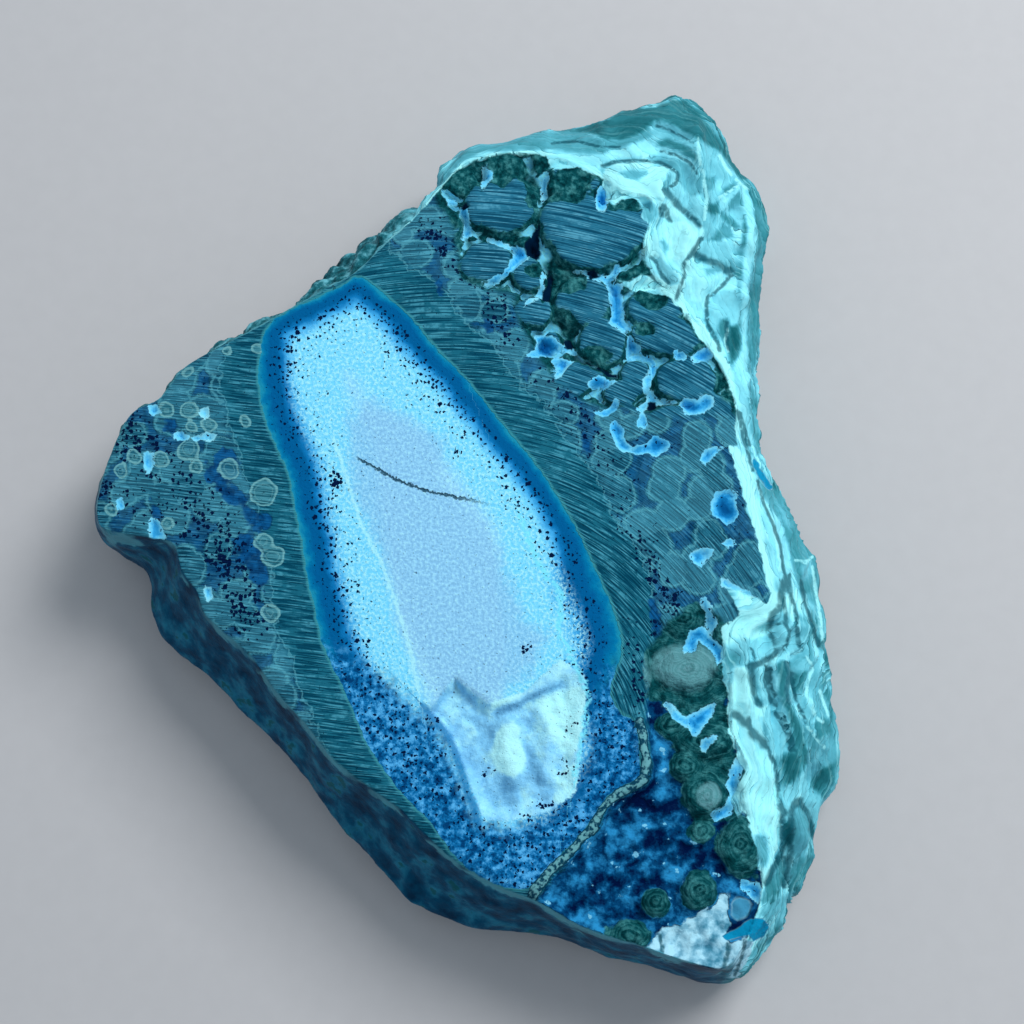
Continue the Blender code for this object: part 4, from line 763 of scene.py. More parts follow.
def bodyRings():
    # Rings round the hub, from the middle of the face over the flank to the middle of the underside
    turns = slab["turns"]
    angles = np.arange(turns + 1) * 2 * math.pi / turns
    edgeR = polar(faceEdge, angles)
    wideR, wideZ = polar(widestLine, angles)
    breaks = np.array(flankBreaks)
    firstShare, firstZ, secondShare, secondZ = (
        np.interp(np.degrees(angles), breaks[:, 0], breaks[:, k], period=360) for k in (1, 2, 3, 4))
    edgeZ = slab["faceHeight"] - slab["rimDrop"]
    unit = np.stack([np.cos(angles), np.sin(angles)], 1)
    rings = []

    def addRing(radius, height):
        xy = np.array(hub) + unit * radius[:, None]
        rings.append(np.column_stack([xy, np.broadcast_to(height, turns + 1)]))

    for share in (0.02, 0.25, 0.5, 0.75, 0.9, 0.975):
        addRing(edgeR * share, slab["faceHeight"])
    addRing(edgeR, edgeZ)
    flankSteps = 14
    for k in range(1, flankSteps + 1):
        share = k / flankSteps
        height = [np.interp(share, [0.0, firstShare[i], secondShare[i], 1.0],
                            [edgeZ, firstZ[i], secondZ[i], wideZ[i]]) for i in range(turns + 1)]
        addRing(edgeR + (wideR - edgeR) * share, np.array(height))
    underSteps = 8
    high = smoothStep(7.0, 12.0, wideZ)
    inset = slab["footInset"] * (0.75 + 0.25 * np.sin(5 * angles + 1.0)) * (1.0 - 0.5 * high)
    for k in range(1, underSteps + 1):
        share = k / underSteps
        out = slab["flankBulge"] * high * math.sin(math.pi * share) - inset * share ** 2
        addRing(wideR + out, wideZ * (1.0 - share))
    for share in (0.75, 0.5, 0.25, 0.02):
        addRing((wideR - inset) * share, 0.0)
    return np.array(rings)


def makeBody():
    # A grid is rolled into rings round the hub, its seam is merged and its two ends are closed
    rings = bodyRings()
    count, around = rings.shape[:2]
    bpy.ops.object.select_all(action="DESELECT")
    bpy.ops.mesh.primitive_grid_add(x_subdivisions=around - 1, y_subdivisions=count - 1, size=1.0)
    piece = bpy.context.object
    piece.name = "slab_stone"
    piece.data.vertices.foreach_set("co", (rings * mm).ravel())
    piece.data.update()
    bpy.ops.object.mode_set(mode="EDIT")
    bpy.ops.mesh.select_all(action="SELECT")
    bpy.ops.mesh.remove_doubles(threshold=0.00001)
    bpy.ops.mesh.select_all(action="DESELECT")
    bpy.ops.mesh.select_non_manifold()
    bpy.ops.mesh.fill_holes(sides=0)
    bpy.ops.mesh.select_all(action="SELECT")
    bpy.ops.mesh.normals_make_consistent(inside=False)
    bpy.ops.object.mode_set(mode="OBJECT")
    applyModifier(piece, "even", "REMESH", mode="VOXEL", voxel_size=slab["grain"] * mm)
    return piece


def meshPoints(mesh, field="co"):
    values = np.empty(len(mesh.vertices) * 3)
    mesh.vertices.foreach_get(field, values)
    return values.reshape(-1, 3)


# Relief of the sawn face, against its plane

def faceRelief(p):
    x = p[:, 0] + slab["wobble"] * rough(p, 2.2, 11)
    y = p[:, 1] + slab["wobble"] * rough(p, 2.2, 12)
    grooved = smoothStep(-0.6, 1.2, insideDepth(x, y, openGrooves))
    floor = slab["grooveDepth"] * (0.8 + 0.35 * rough(p, 3.5, 13))
    domes = -floor
    away = np.full(len(p), 9.0)
    for cx, cy, halfWidth, halfLength, turn in sawnKnobs:
        cos, sin = math.cos(math.radians(turn)), math.sin(math.radians(turn))
        u = ((x - cx) * cos + (y - cy) * sin) / (halfWidth * slab["knobSwell"])
        v = ((y - cy) * cos - (x - cx) * sin) / (halfLength * slab["knobSwell"])
        dome = (floor + slab["sawnCap"]) * np.sqrt(np.clip(1.0 - u * u - v * v, 0.0, 1.0)) - floor
        domes = np.maximum(domes, dome)
        away = np.minimum(away, (np.hypot(u, v) - 1.0) * 0.5 * (halfWidth + halfLength))
    domes = np.maximum(domes, -floor + (floor - slab["fillDrop"]) * smoothStep(0.45, 1.1, away))
    z = grooved * np.minimum(domes, 0.0)

    z -= slab["matrixDrop"] * smoothStep(-0.6, 1.6, insideDepth(x, y, brokenCorner))
    for cx, cy, halfWidth, halfLength, height in knobs:
        r = np.hypot((x - cx) / halfWidth, (y - cy) / halfLength)
        z += height * np.sqrt(np.clip(1.0 - r * r, 0.0, 1.0))
    jagged = 0.3 * rough(p, 1.1, 28)
    z -= slab["poolDrop"] * smoothStep(-0.3, 0.5, areaDepth(p[:, 0], p[:, 1], pools) + jagged)
    for walls, outline in pits:
        hole = areaDepth(p[:, 0], p[:, 1], [outline]) + jagged
        z = np.minimum(z, 0.3 - slab["pitDepth"] * smoothStep(-0.5, 1.1 + walls, hole))

    vein = pathPlace(x, y, veinPath)[0] / slab["veinWidth"]
    z += slab["veinHeight"] * (1.0 - smoothStep(0.3, 0.8, vein))
    inside = insideDepth(x, y, chipOutline)
    lean = np.clip((9.0 - x) / 10.0, 0.0, 1.0)
    z -= slab["chipDepth"] * smoothStep(-0.1, 2.6 - 1.9 * lean, inside) * (0.45 + 0.55 * lean)
    for path, width, height in chipHumps:
        hump = 1.0 - smoothStep(0.0, width, pathPlace(x, y, path)[0])
        z += height * hump * smoothStep(0.0, 1.0, inside)
    return z


def carve(piece):
    mesh = piece.data
    points = meshPoints(mesh) / mm
    normals = meshPoints(mesh, "normal")
    turn = np.arctan2(points[:, 1] - hub[1], points[:, 0] - hub[0])
    degrees = np.degrees(turn)
    out = np.hypot(points[:, 0] - hub[0], points[:, 1] - hub[1]) - polar(faceEdge, turn)

    # The face, whose relief fades at the worn edge
    onFace = (out < 0.0) & (points[:, 2] > 0.75 * slab["faceHeight"])
    p = points[onFace]
    x, y = p[:, 0], p[:, 1]
    fade = smoothStep(0.0, -1.2, out[onFace])
    tumbled = smoothStep(-0.5, 2.5, insideDepth(x, y, brokenCorner))
    relief = faceRelief(p) + tumbled * slab["tumbleDepth"] * rough(p, 2.6, 3)
    relief -= 0.5 * smoothStep(-0.1, 0.35, spots(x, y, unsawnPatches) + 0.3 * rough(p, 1.6, 27))
    unsawn = np.maximum(smoothStep(-0.05, -0.4, relief), tumbled)
    pimples = 0.34 * (packed(p, 1.05, 21) - 0.45) + 0.14 * rough(p, 0.7, 22)
    shards = 0.35 * (0.35 - np.abs(rough(p, 2.4, 23))) * smoothStep(0.0, 1.0, insideDepth(x, y, chipOutline))
    relief += unsawn * pimples + shards
    relief -= slab["creaseDepth"] * smoothStep(0.7, 0.1, lineGap(*seenPlace(p), shadedCreases))
    top = slab["faceHeight"] - slab["rimDrop"] * (1.0 - fade) + relief * (0.4 + 0.6 * fade)
    points[onFace, 2] = np.minimum(top, slab["faceHeight"] + 0.9)

    # The right side breaks off in ledges along its bands, the rest of the flank is natural crust
    flank = (out >= 0.0) & (points[:, 2] > 0.05)
    p = points[flank]
    side = degrees[flank]
    reach = out[flank]
    banded = smoothStep(-66.0, -60.0, side) * smoothStep(88.0, 74.0, side)
    level = (slab["faceHeight"] - p[:, 2] + reach) / slab["ledgeSpacing"] + 0.6 * rough(p * [1.0, 0.8, 0.8], 6.0, 5)
    along = level - np.floor(level)
    tread = np.where(along < 0.8, along / 0.4 - 1.0, (0.9 - along) / 0.1)
    brokenOff = np.clip(0.75 + 0.7 * rough(p, 9.0, 9), 0.25, 1.3)
    ledge = slab["ledgeDepth"] * brokenOff * tread * banded * (1.0 - 0.7 * smoothStep(24.0, 34.0, side))
    facets = slab["facetDepth"] * (0.3 - np.abs(rough(p, slab["facetSize"], 15))) * banded
    for path, height, halfWidth in folds:
        facets += height * np.clip(1.0 - pathPlace(p[:, 0], p[:, 1], path)[0] / halfWidth, 0.0, 1.0)
    facets -= slab["creaseDepth"] * smoothStep(0.7, 0.1, lineGap(*seenPlace(p), shadedCreases))
    facets += 0.25 * smoothStep(0.7, 0.1, lineGap(*seenPlace(p), highlitCrests))
    thin = level * slab["ledgeSpacing"] / slab["fineLedge"] + 0.7 * rough(p, 2.2, 24)
    layers = slab["fineDepth"] * (2.0 * (thin - np.floor(thin)) - 1.0) * banded * np.clip(brokenOff, 0.0, 1.0)
    behind = np.clip(smoothStep(84.0, 100.0, side) + smoothStep(-176.0, -180.0, side), 0.0, 1.0)
    knobbly = (0.9 * (packed(p, slab["knobSize"], 2) - 0.5) + 0.2 * (packed(p, 1.3, 25) - 0.4)) * behind
    rolling = 0.5 * rough(p, 8.0, 7, 3) * (1.0 - 0.5 * banded)
    wavy = 0.12 * rough(p, 1.8, 26) * (1.0 - banded)
    fade = smoothStep(0.0, 1.0, reach) * smoothStep(0.0, 2.5, p[:, 2])
    amount = (ledge + facets + layers + knobbly + rolling + wavy) * fade
    points[flank] += normals[flank] * amount[:, None]
    points[points[:, 2] < 0.04, 2] = 0.0
    mesh.vertices.foreach_set("co", (points * mm).ravel())
    mesh.update()


def thinUnderside(piece):
    # The flat sawn underside needs few faces
    mesh = piece.data
    bpy.ops.object.mode_set(mode="OBJECT")
    for item in (mesh.vertices, mesh.edges, mesh.polygons):
        item.foreach_set("select", np.zeros(len(item), bool))
    points = meshPoints(mesh) / mm
    turn = np.arctan2(points[:, 1] - hub[1], points[:, 0] - hub[0])
    room = polar(widestLine, turn)[0] - np.hypot(points[:, 0] - hub[0], points[:, 1] - hub[1])
    low = (points[:, 2] < 0.01) & (room > slab["footInset"] + 1.0)
    corners = np.empty(len(mesh.loops), int)
    mesh.loops.foreach_get("vertex_index", corners)
    starts = np.empty(len(mesh.polygons), int)
    mesh.polygons.foreach_get("loop_start", starts)
    wholly = np.logical_and.reduceat(low[corners], starts)
    mesh.polygons.foreach_set("select", wholly)
    onlySelect(piece)
    bpy.ops.object.mode_set(mode="EDIT")
    bpy.ops.mesh.select_mode(type="FACE")
    bpy.ops.mesh.decimate(ratio=slab["underShare"])
    bpy.ops.object.mode_set(mode="OBJECT")


# What each point of the stone is, kept on the mesh for its shader

def markZones(piece):
    mesh = piece.data
    p = meshPoints(mesh) / mm
    x, y, z = p.T
    turn = np.arctan2(y - hub[1], x - hub[0])
    degrees = np.degrees(turn)
    out = np.hypot(x - hub[0], y - hub[1]) - polar(faceEdge, turn)
    wx = x + slab["wobble"] * rough(p, 2.2, 11)
    wy = y + slab["wobble"] * rough(p, 2.2, 12)
    core = [tuple(q) for q in closedCurve(coreOutline, 3)]
    density = np.zeros(len(p))
    for path, width, amount in speckBands:
        density = np.maximum(density, amount * (1.0 - smoothStep(0.3 * width, 1.3 * width, pathPlace(x, y, path)[0])))
    knobDome = np.full(len(p), 9.0)
    knobRim = np.zeros(len(p))
    for cx, cy, halfWidth, halfLength, height in knobs:
        dome = np.hypot((wx - cx) / halfWidth, (wy - cy) / halfLength)
        knobRim = np.where(dome < knobDome, dome * 0.5 * (halfWidth + halfLength), knobRim)
        knobDome = np.minimum(knobDome, dome)
    capDome = np.full(len(p), 9.0)
    for cx, cy, halfWidth, halfLength, tilt in sawnKnobs:
        dome = np.hypot((wx - cx) / halfWidth, (wy - cy) / halfLength) / slab["knobSwell"]
        capDome = np.minimum(capDome, dome)
    coreIn = insideDepth(x, y, core)
    wide, wideLevel = polar(widestLine, turn)
    wide -= polar(faceEdge, turn)

    # The blue rim of the core is narrower at its upper right and wider at its lower right
    narrow = 0.3 * np.maximum(smoothStep(-12.0, -4.0, x), smoothStep(20.0, 26.0, y))
    wideRim = 0.55 * smoothStep(2.0, -6.0, y) * smoothStep(0.0, 6.0, x)

    # Saw marks run in arcs round a point below on the right, and nearly straight at the left
    sawX, sawY = -2.1, -25.9
    arcs = np.hypot(x - sawX, y - sawY)
    swept = 30.0 * np.arctan2(x - sawX, y - sawY)
    lean = math.radians(7.0)
    leftSide = x * 0.93 + y * 0.36 < -3.5
    across = np.where(leftSide, y * math.cos(lean) + x * math.sin(lean), arcs)
    along = np.where(leftSide, x * math.cos(lean) - y * math.sin(lean) + 90.0, swept)

    sx, sy = seenPlace(p)
    sx = sx + 0.12 * rough(p, 0.9, 29)
    sy = sy + 0.12 * rough(p, 0.9, 30)
    reach = np.where(z < wideLevel, 1.0, np.clip(out / wide, -0.5, 1.0))
    steep = smoothStep(5.5, 2.0, z - wideLevel) * (out > 0.0)
    ground = np.where(out < 0.0, 0.85, 0.82 - 0.42 * reach) + 0.3 * rough(p * [1.0, 0.6, 1.0], 2.6, 31)
    lightness, panelIn = layPanels(sx, sy, toneAndShadePanels, ground, 0.22)
    chipTone = layPanels(sx, sy, chipLightAndShadePanels, np.full(len(p), 0.55) + 0.3 * rough(p, 2.4, 23), 0.3)[0]
    eyeIn = np.max([radius - np.hypot(wx - cx, wy - cy) for cx, cy, radius in eyes], axis=0)
    pitIn = np.max([areaDepth(x, y, [outline]) - 0.55 * walls for walls, outline in pits], axis=0)
    white = np.maximum(insideDepth(wx, wy, whiteZone), insideDepth(wx, wy, paleEdge))
    white = np.maximum(white, areaDepth(sx, sy, [outline for value, outline in toneAndShadePanels]))

    flankLevel = slab["faceHeight"] - z + out + 0.6 * slab["ledgeSpacing"] * rough(p * [1.0, 0.8, 0.8], 6.0, 5)
    crack, crackSide, crackAlong = pathPlace(x, y, crackPath)
    hook, hookSide, hookAlong = pathPlace(x, y, hookPath)
    fields = {
        "coreIn": coreIn,
        "coreDepth": coreIn * (1.0 + narrow - wideRim),
        "centreIn": insideDepth(x, y, centreOutline),
        "coreSpeck": 0.75 * smoothStep(0.0, 0.5, spots(x, y, coreSpeckSpots)),
        "seamSide": pathPlace(x, y, highlightPath)[1],
        "chipShade": pathPlace(x, y, chipShadowPath)[1],
        "bandWidth": 4.2 + 0.6 * smoothStep(-20.0, 0.0, x),
        "lightness": lightness,
        "panelIn": panelIn,
        "creaseGap": lineGap(sx, sy, shadedCreases),
        "crestGap": lineGap(sx, sy, highlitCrests),
        "chipTone": chipTone,
        "poolIn": areaDepth(sx, sy, pools),
        "pitIn": pitIn,
        "turquoiseIn": areaDepth(sx, sy, turquoiseSpots) - 2.0 * steep,
        "slateIn": areaDepth(sx, sy, [slateSpot]),
        "knobRim": knobRim,
        "paleKnob": np.clip(spots(wx, wy, paleKnobs), 0.0, 0.6) * 1.6,
        "closeIn": smoothStep(-1.0, 1.0, insideDepth(wx, wy, openGrooves)),
        "mossIn": areaDepth(wx, wy, mossAreas),
        "paleIn": areaDepth(sx, sy, [paleArea]),
        "coreBlue": insideDepth(x, y, coreBlueEnd),
        "edgeIn": np.where(z < 0.05, 1.5, np.where(z > 8.0, -out, np.minimum(-out, -1.0))),
        "sunk": np.where(out < 0.3, slab["faceHeight"] - z, 0.0) * (z > 8.0),
        "grooved": insideDepth(wx, wy, openGrooves),
        "cornerIn": insideDepth(wx, wy, brokenCorner),
        "knobDome": knobDome,
        "capDome": capDome,
        "veinGap": pathPlace(wx, wy, veinPath)[0],
        "chipIn": insideDepth(x, y, chipOutline),
        "crackSide": crackSide,
        "hookSide": hookSide,
        "scratchSide": pathPlace(x, y, scratchPath)[1],
        "speckiness": density,
        "eyeIn": eyeIn,
        "navyIn": areaDepth(sx, sy, navies),
        "whiteIn": white,
        "banded": smoothStep(-66.0, -60.0, degrees) * smoothStep(122.0, 86.0, degrees),
        "wall": smoothStep(-178.0, -172.0, degrees) * smoothStep(-60.0, -66.0, degrees),
        "height": z,
    }
    vectors = {
        "strokes": (across, along, np.zeros(len(p))),
        "layers": (flankLevel, np.radians(degrees) * 32.0, np.zeros(len(p))),
        "ends": (crackAlong, hookAlong, out),
    }
    for name, values in fields.items():
        mesh.attributes.new(name, "FLOAT", "POINT").data.foreach_set("value", values)
    for name, parts in vectors.items():
        mesh.attributes.new(name, "FLOAT_VECTOR", "POINT").data.foreach_set("vector", np.stack(parts, 1).ravel())


def placeSlab(piece):
    mesh = piece.data
    points = meshPoints(mesh)
    points[:, 0] -= middle[0] * mm
    points[:, 1] -= middle[1] * mm
    points[points[:, 2] < 0.04 * mm, 2] = 0.0
    mesh.vertices.foreach_set("co", points.ravel())
    mesh.update()
    onlySelect(piece)
    bpy.ops.object.shade_smooth()


# Shader maths

class Wire:
    # One output socket: arithmetic on it adds Math nodes
    def __init__(self, look, socket):
        self.look = look
        self.socket = socket

    def __add__(self, other):
        return self.look.sums("ADD", self, other)

    def __radd__(self, other):
        return self.look.sums("ADD", other, self)

    def __sub__(self, other):
        return self.look.sums("SUBTRACT", self, other)

    def __rsub__(self, other):
        return self.look.sums("SUBTRACT", other, self)

    def __mul__(self, other):
        return self.look.sums("MULTIPLY", self, other)

    def __rmul__(self, other):
        return self.look.sums("MULTIPLY", other, self)

    def __truediv__(self, other):
        return self.look.sums("DIVIDE", self, other)


class Look:
    # A material and its nodes
    def __init__(self, name):
        self.material = bpy.data.materials.new(name)
        self.material.use_nodes = True
        self.nodes = self.material.node_tree.nodes
        self.links = self.material.node_tree.links
        self.shader = self.nodes["Principled BSDF"]
        self.place = self.vectors("SCALE", self.node("ShaderNodeTexCoord", out="Object"), factor=1.0 / mm)

    def node(self, kind, settings=None, inputs=None, out=0):
        made = self.nodes.new(kind)
        for key, value in (settings or {}).items():
            if key == "stops":
                self.setStops(made.color_ramp, value)
            else:
                setattr(made, key, value)
        for key, value in (inputs or {}).items():
            self.feed(made.inputs[key], value)
        return Wire(self, made.outputs[out])

    def setStops(self, ramp, stops):
        while len(ramp.elements) < len(stops):
            ramp.elements.new(0.5)
        for element, (position, colour) in zip(ramp.elements, stops):
            element.position = position
            element.color = colour

    def feed(self, socket, value):
        if isinstance(value, Wire):
            self.links.new(value.socket, socket)
        else:
            socket.default_value = value

    def sums(self, operation, a, b=None, c=None, clamp=False):
        inputs = {k: v for k, v in enumerate((a, b, c)) if v is not None}
        return self.node("ShaderNodeMath", {"operation": operation, "use_clamp": clamp}, inputs)

    def vectors(self, operation, a, b=None, factor=None):
        inputs = {0: a}
        if b is not None:
            inputs[1] = b
        if factor is not None:
            inputs["Scale"] = factor
        return self.node("ShaderNodeVectorMath", {"operation": operation}, inputs)

    def field(self, name):
        return self.node("ShaderNodeAttribute", {"attribute_name": name}, out="Fac")

    def vector(self, name):
        return self.node("ShaderNodeAttribute", {"attribute_name": name}, out="Vector")

    def step(self, value, low, high):
        return self.node("ShaderNodeMapRange", {"interpolation_type": "SMOOTHSTEP"},
                         {"Value": value, "From Min": low, "From Max": high})

    def first(self, value):
        return self.node("ShaderNodeSeparateXYZ", {}, {0: value}, out="X")

    def noise(self, size, detail=2.0, seed=0.0, stretch=None, at=None, roughness=0.5, flat=False):
        # About 0 to 1, with lumps of the given size in millimetres
        where = at or self.place
        spread = stretch or (1.0, 1.0, 1.0)
        scaled = self.node("ShaderNodeMapping", {}, {
            "Vector": where,
            "Location": (seed * 3.1, seed * 7.7, seed * 1.3),
            "Scale": tuple(s / size for s in spread),
        })
        return self.node("ShaderNodeTexNoise", {"noise_dimensions": "2D" if flat else "3D"}, {
            "Vector": scaled, "Scale": 1.0, "Detail": detail, "Roughness": roughness})

    def cells(self, size, seed=0.0, at=None):
        # Distance to the middle of the nearest cell, and that cell's own number from 0 to 1
        scaled = self.node("ShaderNodeMapping", {}, {
            "Vector": at or self.place,
            "Location": (seed * 3.1, seed * 7.7, seed * 1.3),
            "Scale": (1.0 / size,) * 3,
        })
        distance = self.node("ShaderNodeTexVoronoi", {"voronoi_dimensions": "2D"}, {"Vector": scaled, "Scale": 1.0})
        colour = Wire(self, distance.socket.node.outputs["Color"])
        return distance, self.first(colour)

    def mix(self, share, a, b, blend="MIX"):
        made = self.nodes.new("ShaderNodeMix")
        made.data_type = "RGBA"
        made.blend_type = blend
        made.clamp_factor = True
        for socket, value in ((made.inputs[0], share), (made.inputs[6], a), (made.inputs[7], b)):
            self.feed(socket, value)
        return Wire(self, made.outputs[2])

    def ramp(self, value, stops):
        return self.node("ShaderNodeValToRGB", {"stops": stops}, {"Fac": value})


lightGain = 1.0                 # a level white surface comes out this bright


def seen(red, green, blue):
    # A colour as it comes out in the picture, made the surface's own
    linear = [((c / 255 + 0.055) / 1.055) ** 2.4 if c > 10 else c / 255 / 12.92 for c in (red, green, blue)]
    return (*[min(0.97, v / lightGain) for v in linear], 1.0)


def grey(value):
    return (value, value, value, 1.0)


stoneTones = {
    "rimLine": seen(26, 140, 172),
    "rimBlue": seen(3, 117, 166),
    "deepBlue": seen(2, 92, 148),
    "turnBlue": seen(16, 120, 184),
    "midSky": seen(66, 172, 230),
    "sky": seen(112, 212, 252),
    "white": seen(176, 244, 255),
    "centre": seen(146, 208, 244),
    "centreGrey": seen(126, 186, 226),
    "endDark": seen(3, 62, 112),
    "endMid": seen(16, 112, 172),
    "endLight": seen(84, 176, 232),
    "chipShade": seen(92, 160, 204),
    "chipMid": seen(136, 210, 248),
    "paintedHighlight": seen(120, 230, 255),
    "speck": seen(3, 20, 58),
    "edgeLine": seen(60, 146, 158),
    "bandDark": seen(2, 60, 84),
    "bandMid": seen(26, 102, 124),
    "bandLight": seen(72, 156, 178),
    "outerDark": seen(6, 56, 80),
    "outerMid": seen(36, 108, 132),
    "outerLight": seen(82, 162, 184),
    "scallop": seen(92, 172, 188),
    "mossDark": seen(2, 44, 50),
    "mossMid": seen(12, 78, 84),
    "mossLight": seen(66, 138, 142),
    "mossPale": seen(122, 178, 188),
    "capDark": seen(6, 66, 92),
    "capMid": seen(40, 114, 142),
    "capLight": seen(88, 166, 192),
    "groovePale": seen(120, 214, 232),
    "holeShade": seen(1, 26, 52),
    "matrixDark": seen(1, 18, 60),
    "matrixMid": seen(3, 66, 112),
    "matrixLight": seen(40, 140, 196),
    "matrixPaintedGlint": seen(130, 210, 240),
    "veinLight": seen(100, 162, 170),
    "veinDark": seen(12, 62, 84),
    "mintBright": seen(164, 246, 254),
    "mintLight": seen(134, 226, 242),
    "mintMid": seen(92, 180, 198),
    "mintDark": seen(54, 136, 148),
    "mintDeep": seen(16, 90, 98),
    "contour": seen(14, 78, 92),
    "paleDark": seen(64, 132, 158),
    "pale": seen(118, 178, 202),
    "paleLight": seen(168, 222, 240),
    "slate": seen(62, 142, 178),
    "turquoise": seen(10, 140, 184),
    "wallDark": seen(2, 44, 72),
    "wallMid": seen(6, 72, 104),
    "wallLight": seen(34, 118, 148),
    "crustDark": seen(6, 58, 66),
    "crustMid": seen(36, 108, 120),
    "crustLight": seen(104, 180, 194),
    "crust": seen(150, 226, 240),
    "bluePale": seen(108, 206, 242),
    "blueMid": seen(56, 166, 222),
    "blueBright": seen(20, 124, 186),
    "blueDeep": seen(6, 84, 142),
    "navy": seen(3, 52, 100),
    "navyLight": seen(12, 86, 142),
    "eyeLight": seen(120, 184, 190),
    "eyeDark": seen(34, 100, 116),
    "eyeMid": seen(72, 140, 154),
}


def stoneLook(name):
    # The noises that all zones of the stone share
    look = Look(name)
    look.fine = look.noise(0.34, detail=1.0, seed=1)
    look.small = look.noise(1.1, detail=3.0, seed=2)
    look.broad = look.noise(5.0, detail=2.0, seed=3)
    jitter = look.node("ShaderNodeTexNoise", {"noise_dimensions": "2D"},
                       {"Vector": look.place, "Scale": 3.2, "Detail": 1.0}, out="Color")
    look.ragged = look.vectors("ADD", look.place, look.vectors("SCALE", jitter, factor=0.42))
    return look


def specks(look, size, seed, amount, radius):
    # Cells with a dark grain in as many of them as the amount asks for
    distance, lot = look.cells(size, seed, at=look.ragged)
    room = look.sums("MULTIPLY", look.sums("SUBTRACT", amount, lot), radius, clamp=True)
    return look.step(distance, room + 0.06, room)


def cover(look, share, under, over):
    # One finish laid over another: colour, height in millimetres, roughness
    return (look.mix(share, under[0], over[0]),
            under[1] + share * (over[1] - under[1]),
            under[2] + share * (over[2] - under[2]))


def coreCoat(look):
    # The pale core: a turquoise rim line, deep blue, then sky blue that turns grey-blue in the middle
    t = stoneTones
    coreIn = look.field("coreIn")
    depth = look.field("coreDepth") + (look.small - 0.5) * 1.3 + (look.broad - 0.5) * 1.6
    core = look.ramp(depth * (1.0 / 14.0), [
        (0.0, t["rimLine"]), (0.03, t["rimBlue"]), (0.08, t["deepBlue"]), (0.15, t["deepBlue"]),
        (0.20, t["turnBlue"]), (0.25, t["midSky"]), (0.33, t["sky"]), (0.62, t["sky"]),
        (0.80, t["centre"]), (1.0, t["centre"])])
    milk = look.noise(0.36, detail=3.0, seed=6, roughness=0.62, flat=True)
    pale = look.step(coreIn, 2.6, 4.4)
    core = look.mix(look.step(milk, 0.40, 0.70) * pale * 0.8, core, t["white"])
    hollow = look.step(look.field("centreIn") + (look.small - 0.5) * 3.0, -1.2, 1.2)
    core = look.mix(hollow * 0.8, core, look.mix(look.step(milk, 0.36, 0.6), t["centreGrey"], t["centre"]))
    core = look.mix(look.step(milk, 0.60, 0.74) * hollow * 0.5, core, t["white"])

    blotch = look.noise(0.9, detail=4.0, seed=20, roughness=0.65, flat=True)
    blueEnd = look.step(look.field("coreBlue") + (look.small - 0.5) * 3.2, -1.2, 1.4)
    endTone = look.ramp(blotch + (look.broad - 0.5) * 0.35, [
        (0.34, t["endDark"]), (0.49, t["endMid"]), (0.66, t["endLight"])])
    core = look.mix(blueEnd, core, endTone)
    chip = look.step(look.field("chipIn") + (look.fine - 0.5) * 0.6, 0.0, 0.3)
    # Painted light and shade on the chip's broken faces, from a shaded tone to a white highlight
    chipShade = look.field("chipTone") + (blotch - 0.5) * 0.5 + (look.fine - 0.5) * 0.2
    chipTone = look.ramp(chipShade, [(0.1, t["chipShade"]), (0.5, t["chipMid"]), (0.85, t["white"])])
    core = look.mix(chip, core, chipTone)
    # Painted shadow along the chip's left edge, where the blue stone steps down onto it
    shade = look.sums("ABSOLUTE", look.field("chipShade") + (look.fine - 0.5) * 0.5)
    core = look.mix((1.0 - look.step(shade, 0.15, 0.75)) * 0.8, core, t["endMid"])

    # Painted highlight along an edge at the right of the pale part
    highlightGap = look.sums("ABSOLUTE", look.field("seamSide") + (look.small - 0.5) * 1.5)
    paintedHighlight = (1.0 - look.step(highlightGap, 0.1, 0.5)) * look.step(look.fine, 0.3, 0.5)
    core = look.mix(paintedHighlight * 0.8, core, t["paintedHighlight"])

    rimmed = look.ramp(coreIn * (1.0 / 14.0), [
        (0.0, grey(0.02)), (0.05, grey(0.15)), (0.11, grey(0.5)), (0.20, grey(0.66)),
        (0.32, grey(0.5)), (0.42, grey(0.24)), (0.6, grey(0.12)), (1.0, grey(0.05))])
    amount = look.sums("MAXIMUM", look.first(rimmed), blueEnd * 0.5) * (0.45 + look.broad * 1.1)
    amount = amount * (1.0 - chip * 0.8) + look.field("coreSpeck")
    grains = look.sums("MAXIMUM", specks(look, 0.46, 7, amount, 0.66), specks(look, 1.25, 8, amount * 0.5, 0.62))
    core = look.mix(grains, core, t["speck"])

    # Crack and a light scratch
    ragged = (look.fine - 0.5) * 0.7
    ends = look.first(look.vector("ends"))
    crackGap = look.sums("ABSOLUTE", look.field("crackSide") + ragged)
    crack = (1.0 - look.step(crackGap, 0.05, 0.22)) * look.step(ends, 0.3, 1.2) * look.step(ends, 17.6, 12.0)
    scratch = 1.0 - look.step(look.sums("ABSOLUTE", look.field("scratchSide") + ragged), 0.08, 0.3)
    core = look.mix(scratch * 0.6 * look.step(coreIn, 5.0, 6.0), core, t["white"])
    core = look.mix(crack * 0.9, core, t["veinDark"])
    height = milk * 0.10 + blotch * (0.16 * blueEnd + 0.14 * chip) - crack * 0.3
    return core, height, 0.66


def sawnTone(look, dark, mid, light):
    # Fine dark and light strokes of the saw on one tone
    t = stoneTones
    strokes = look.strokes + (look.fine - 0.5) * 0.10
    shifting = look.small * 0.5 + look.broad * 0.5
    tone = look.mix(look.step(shifting, 0.40, 0.60), t[mid], look.mix(0.4, t[mid], t[dark]))
    tone = look.mix(look.step(strokes, 0.47, 0.38) * 0.85, tone, t[dark])
    tone = look.mix(look.step(strokes, 0.53, 0.64) * look.step(look.small, 0.36, 0.56) * 0.75, tone, t[light])
    return tone


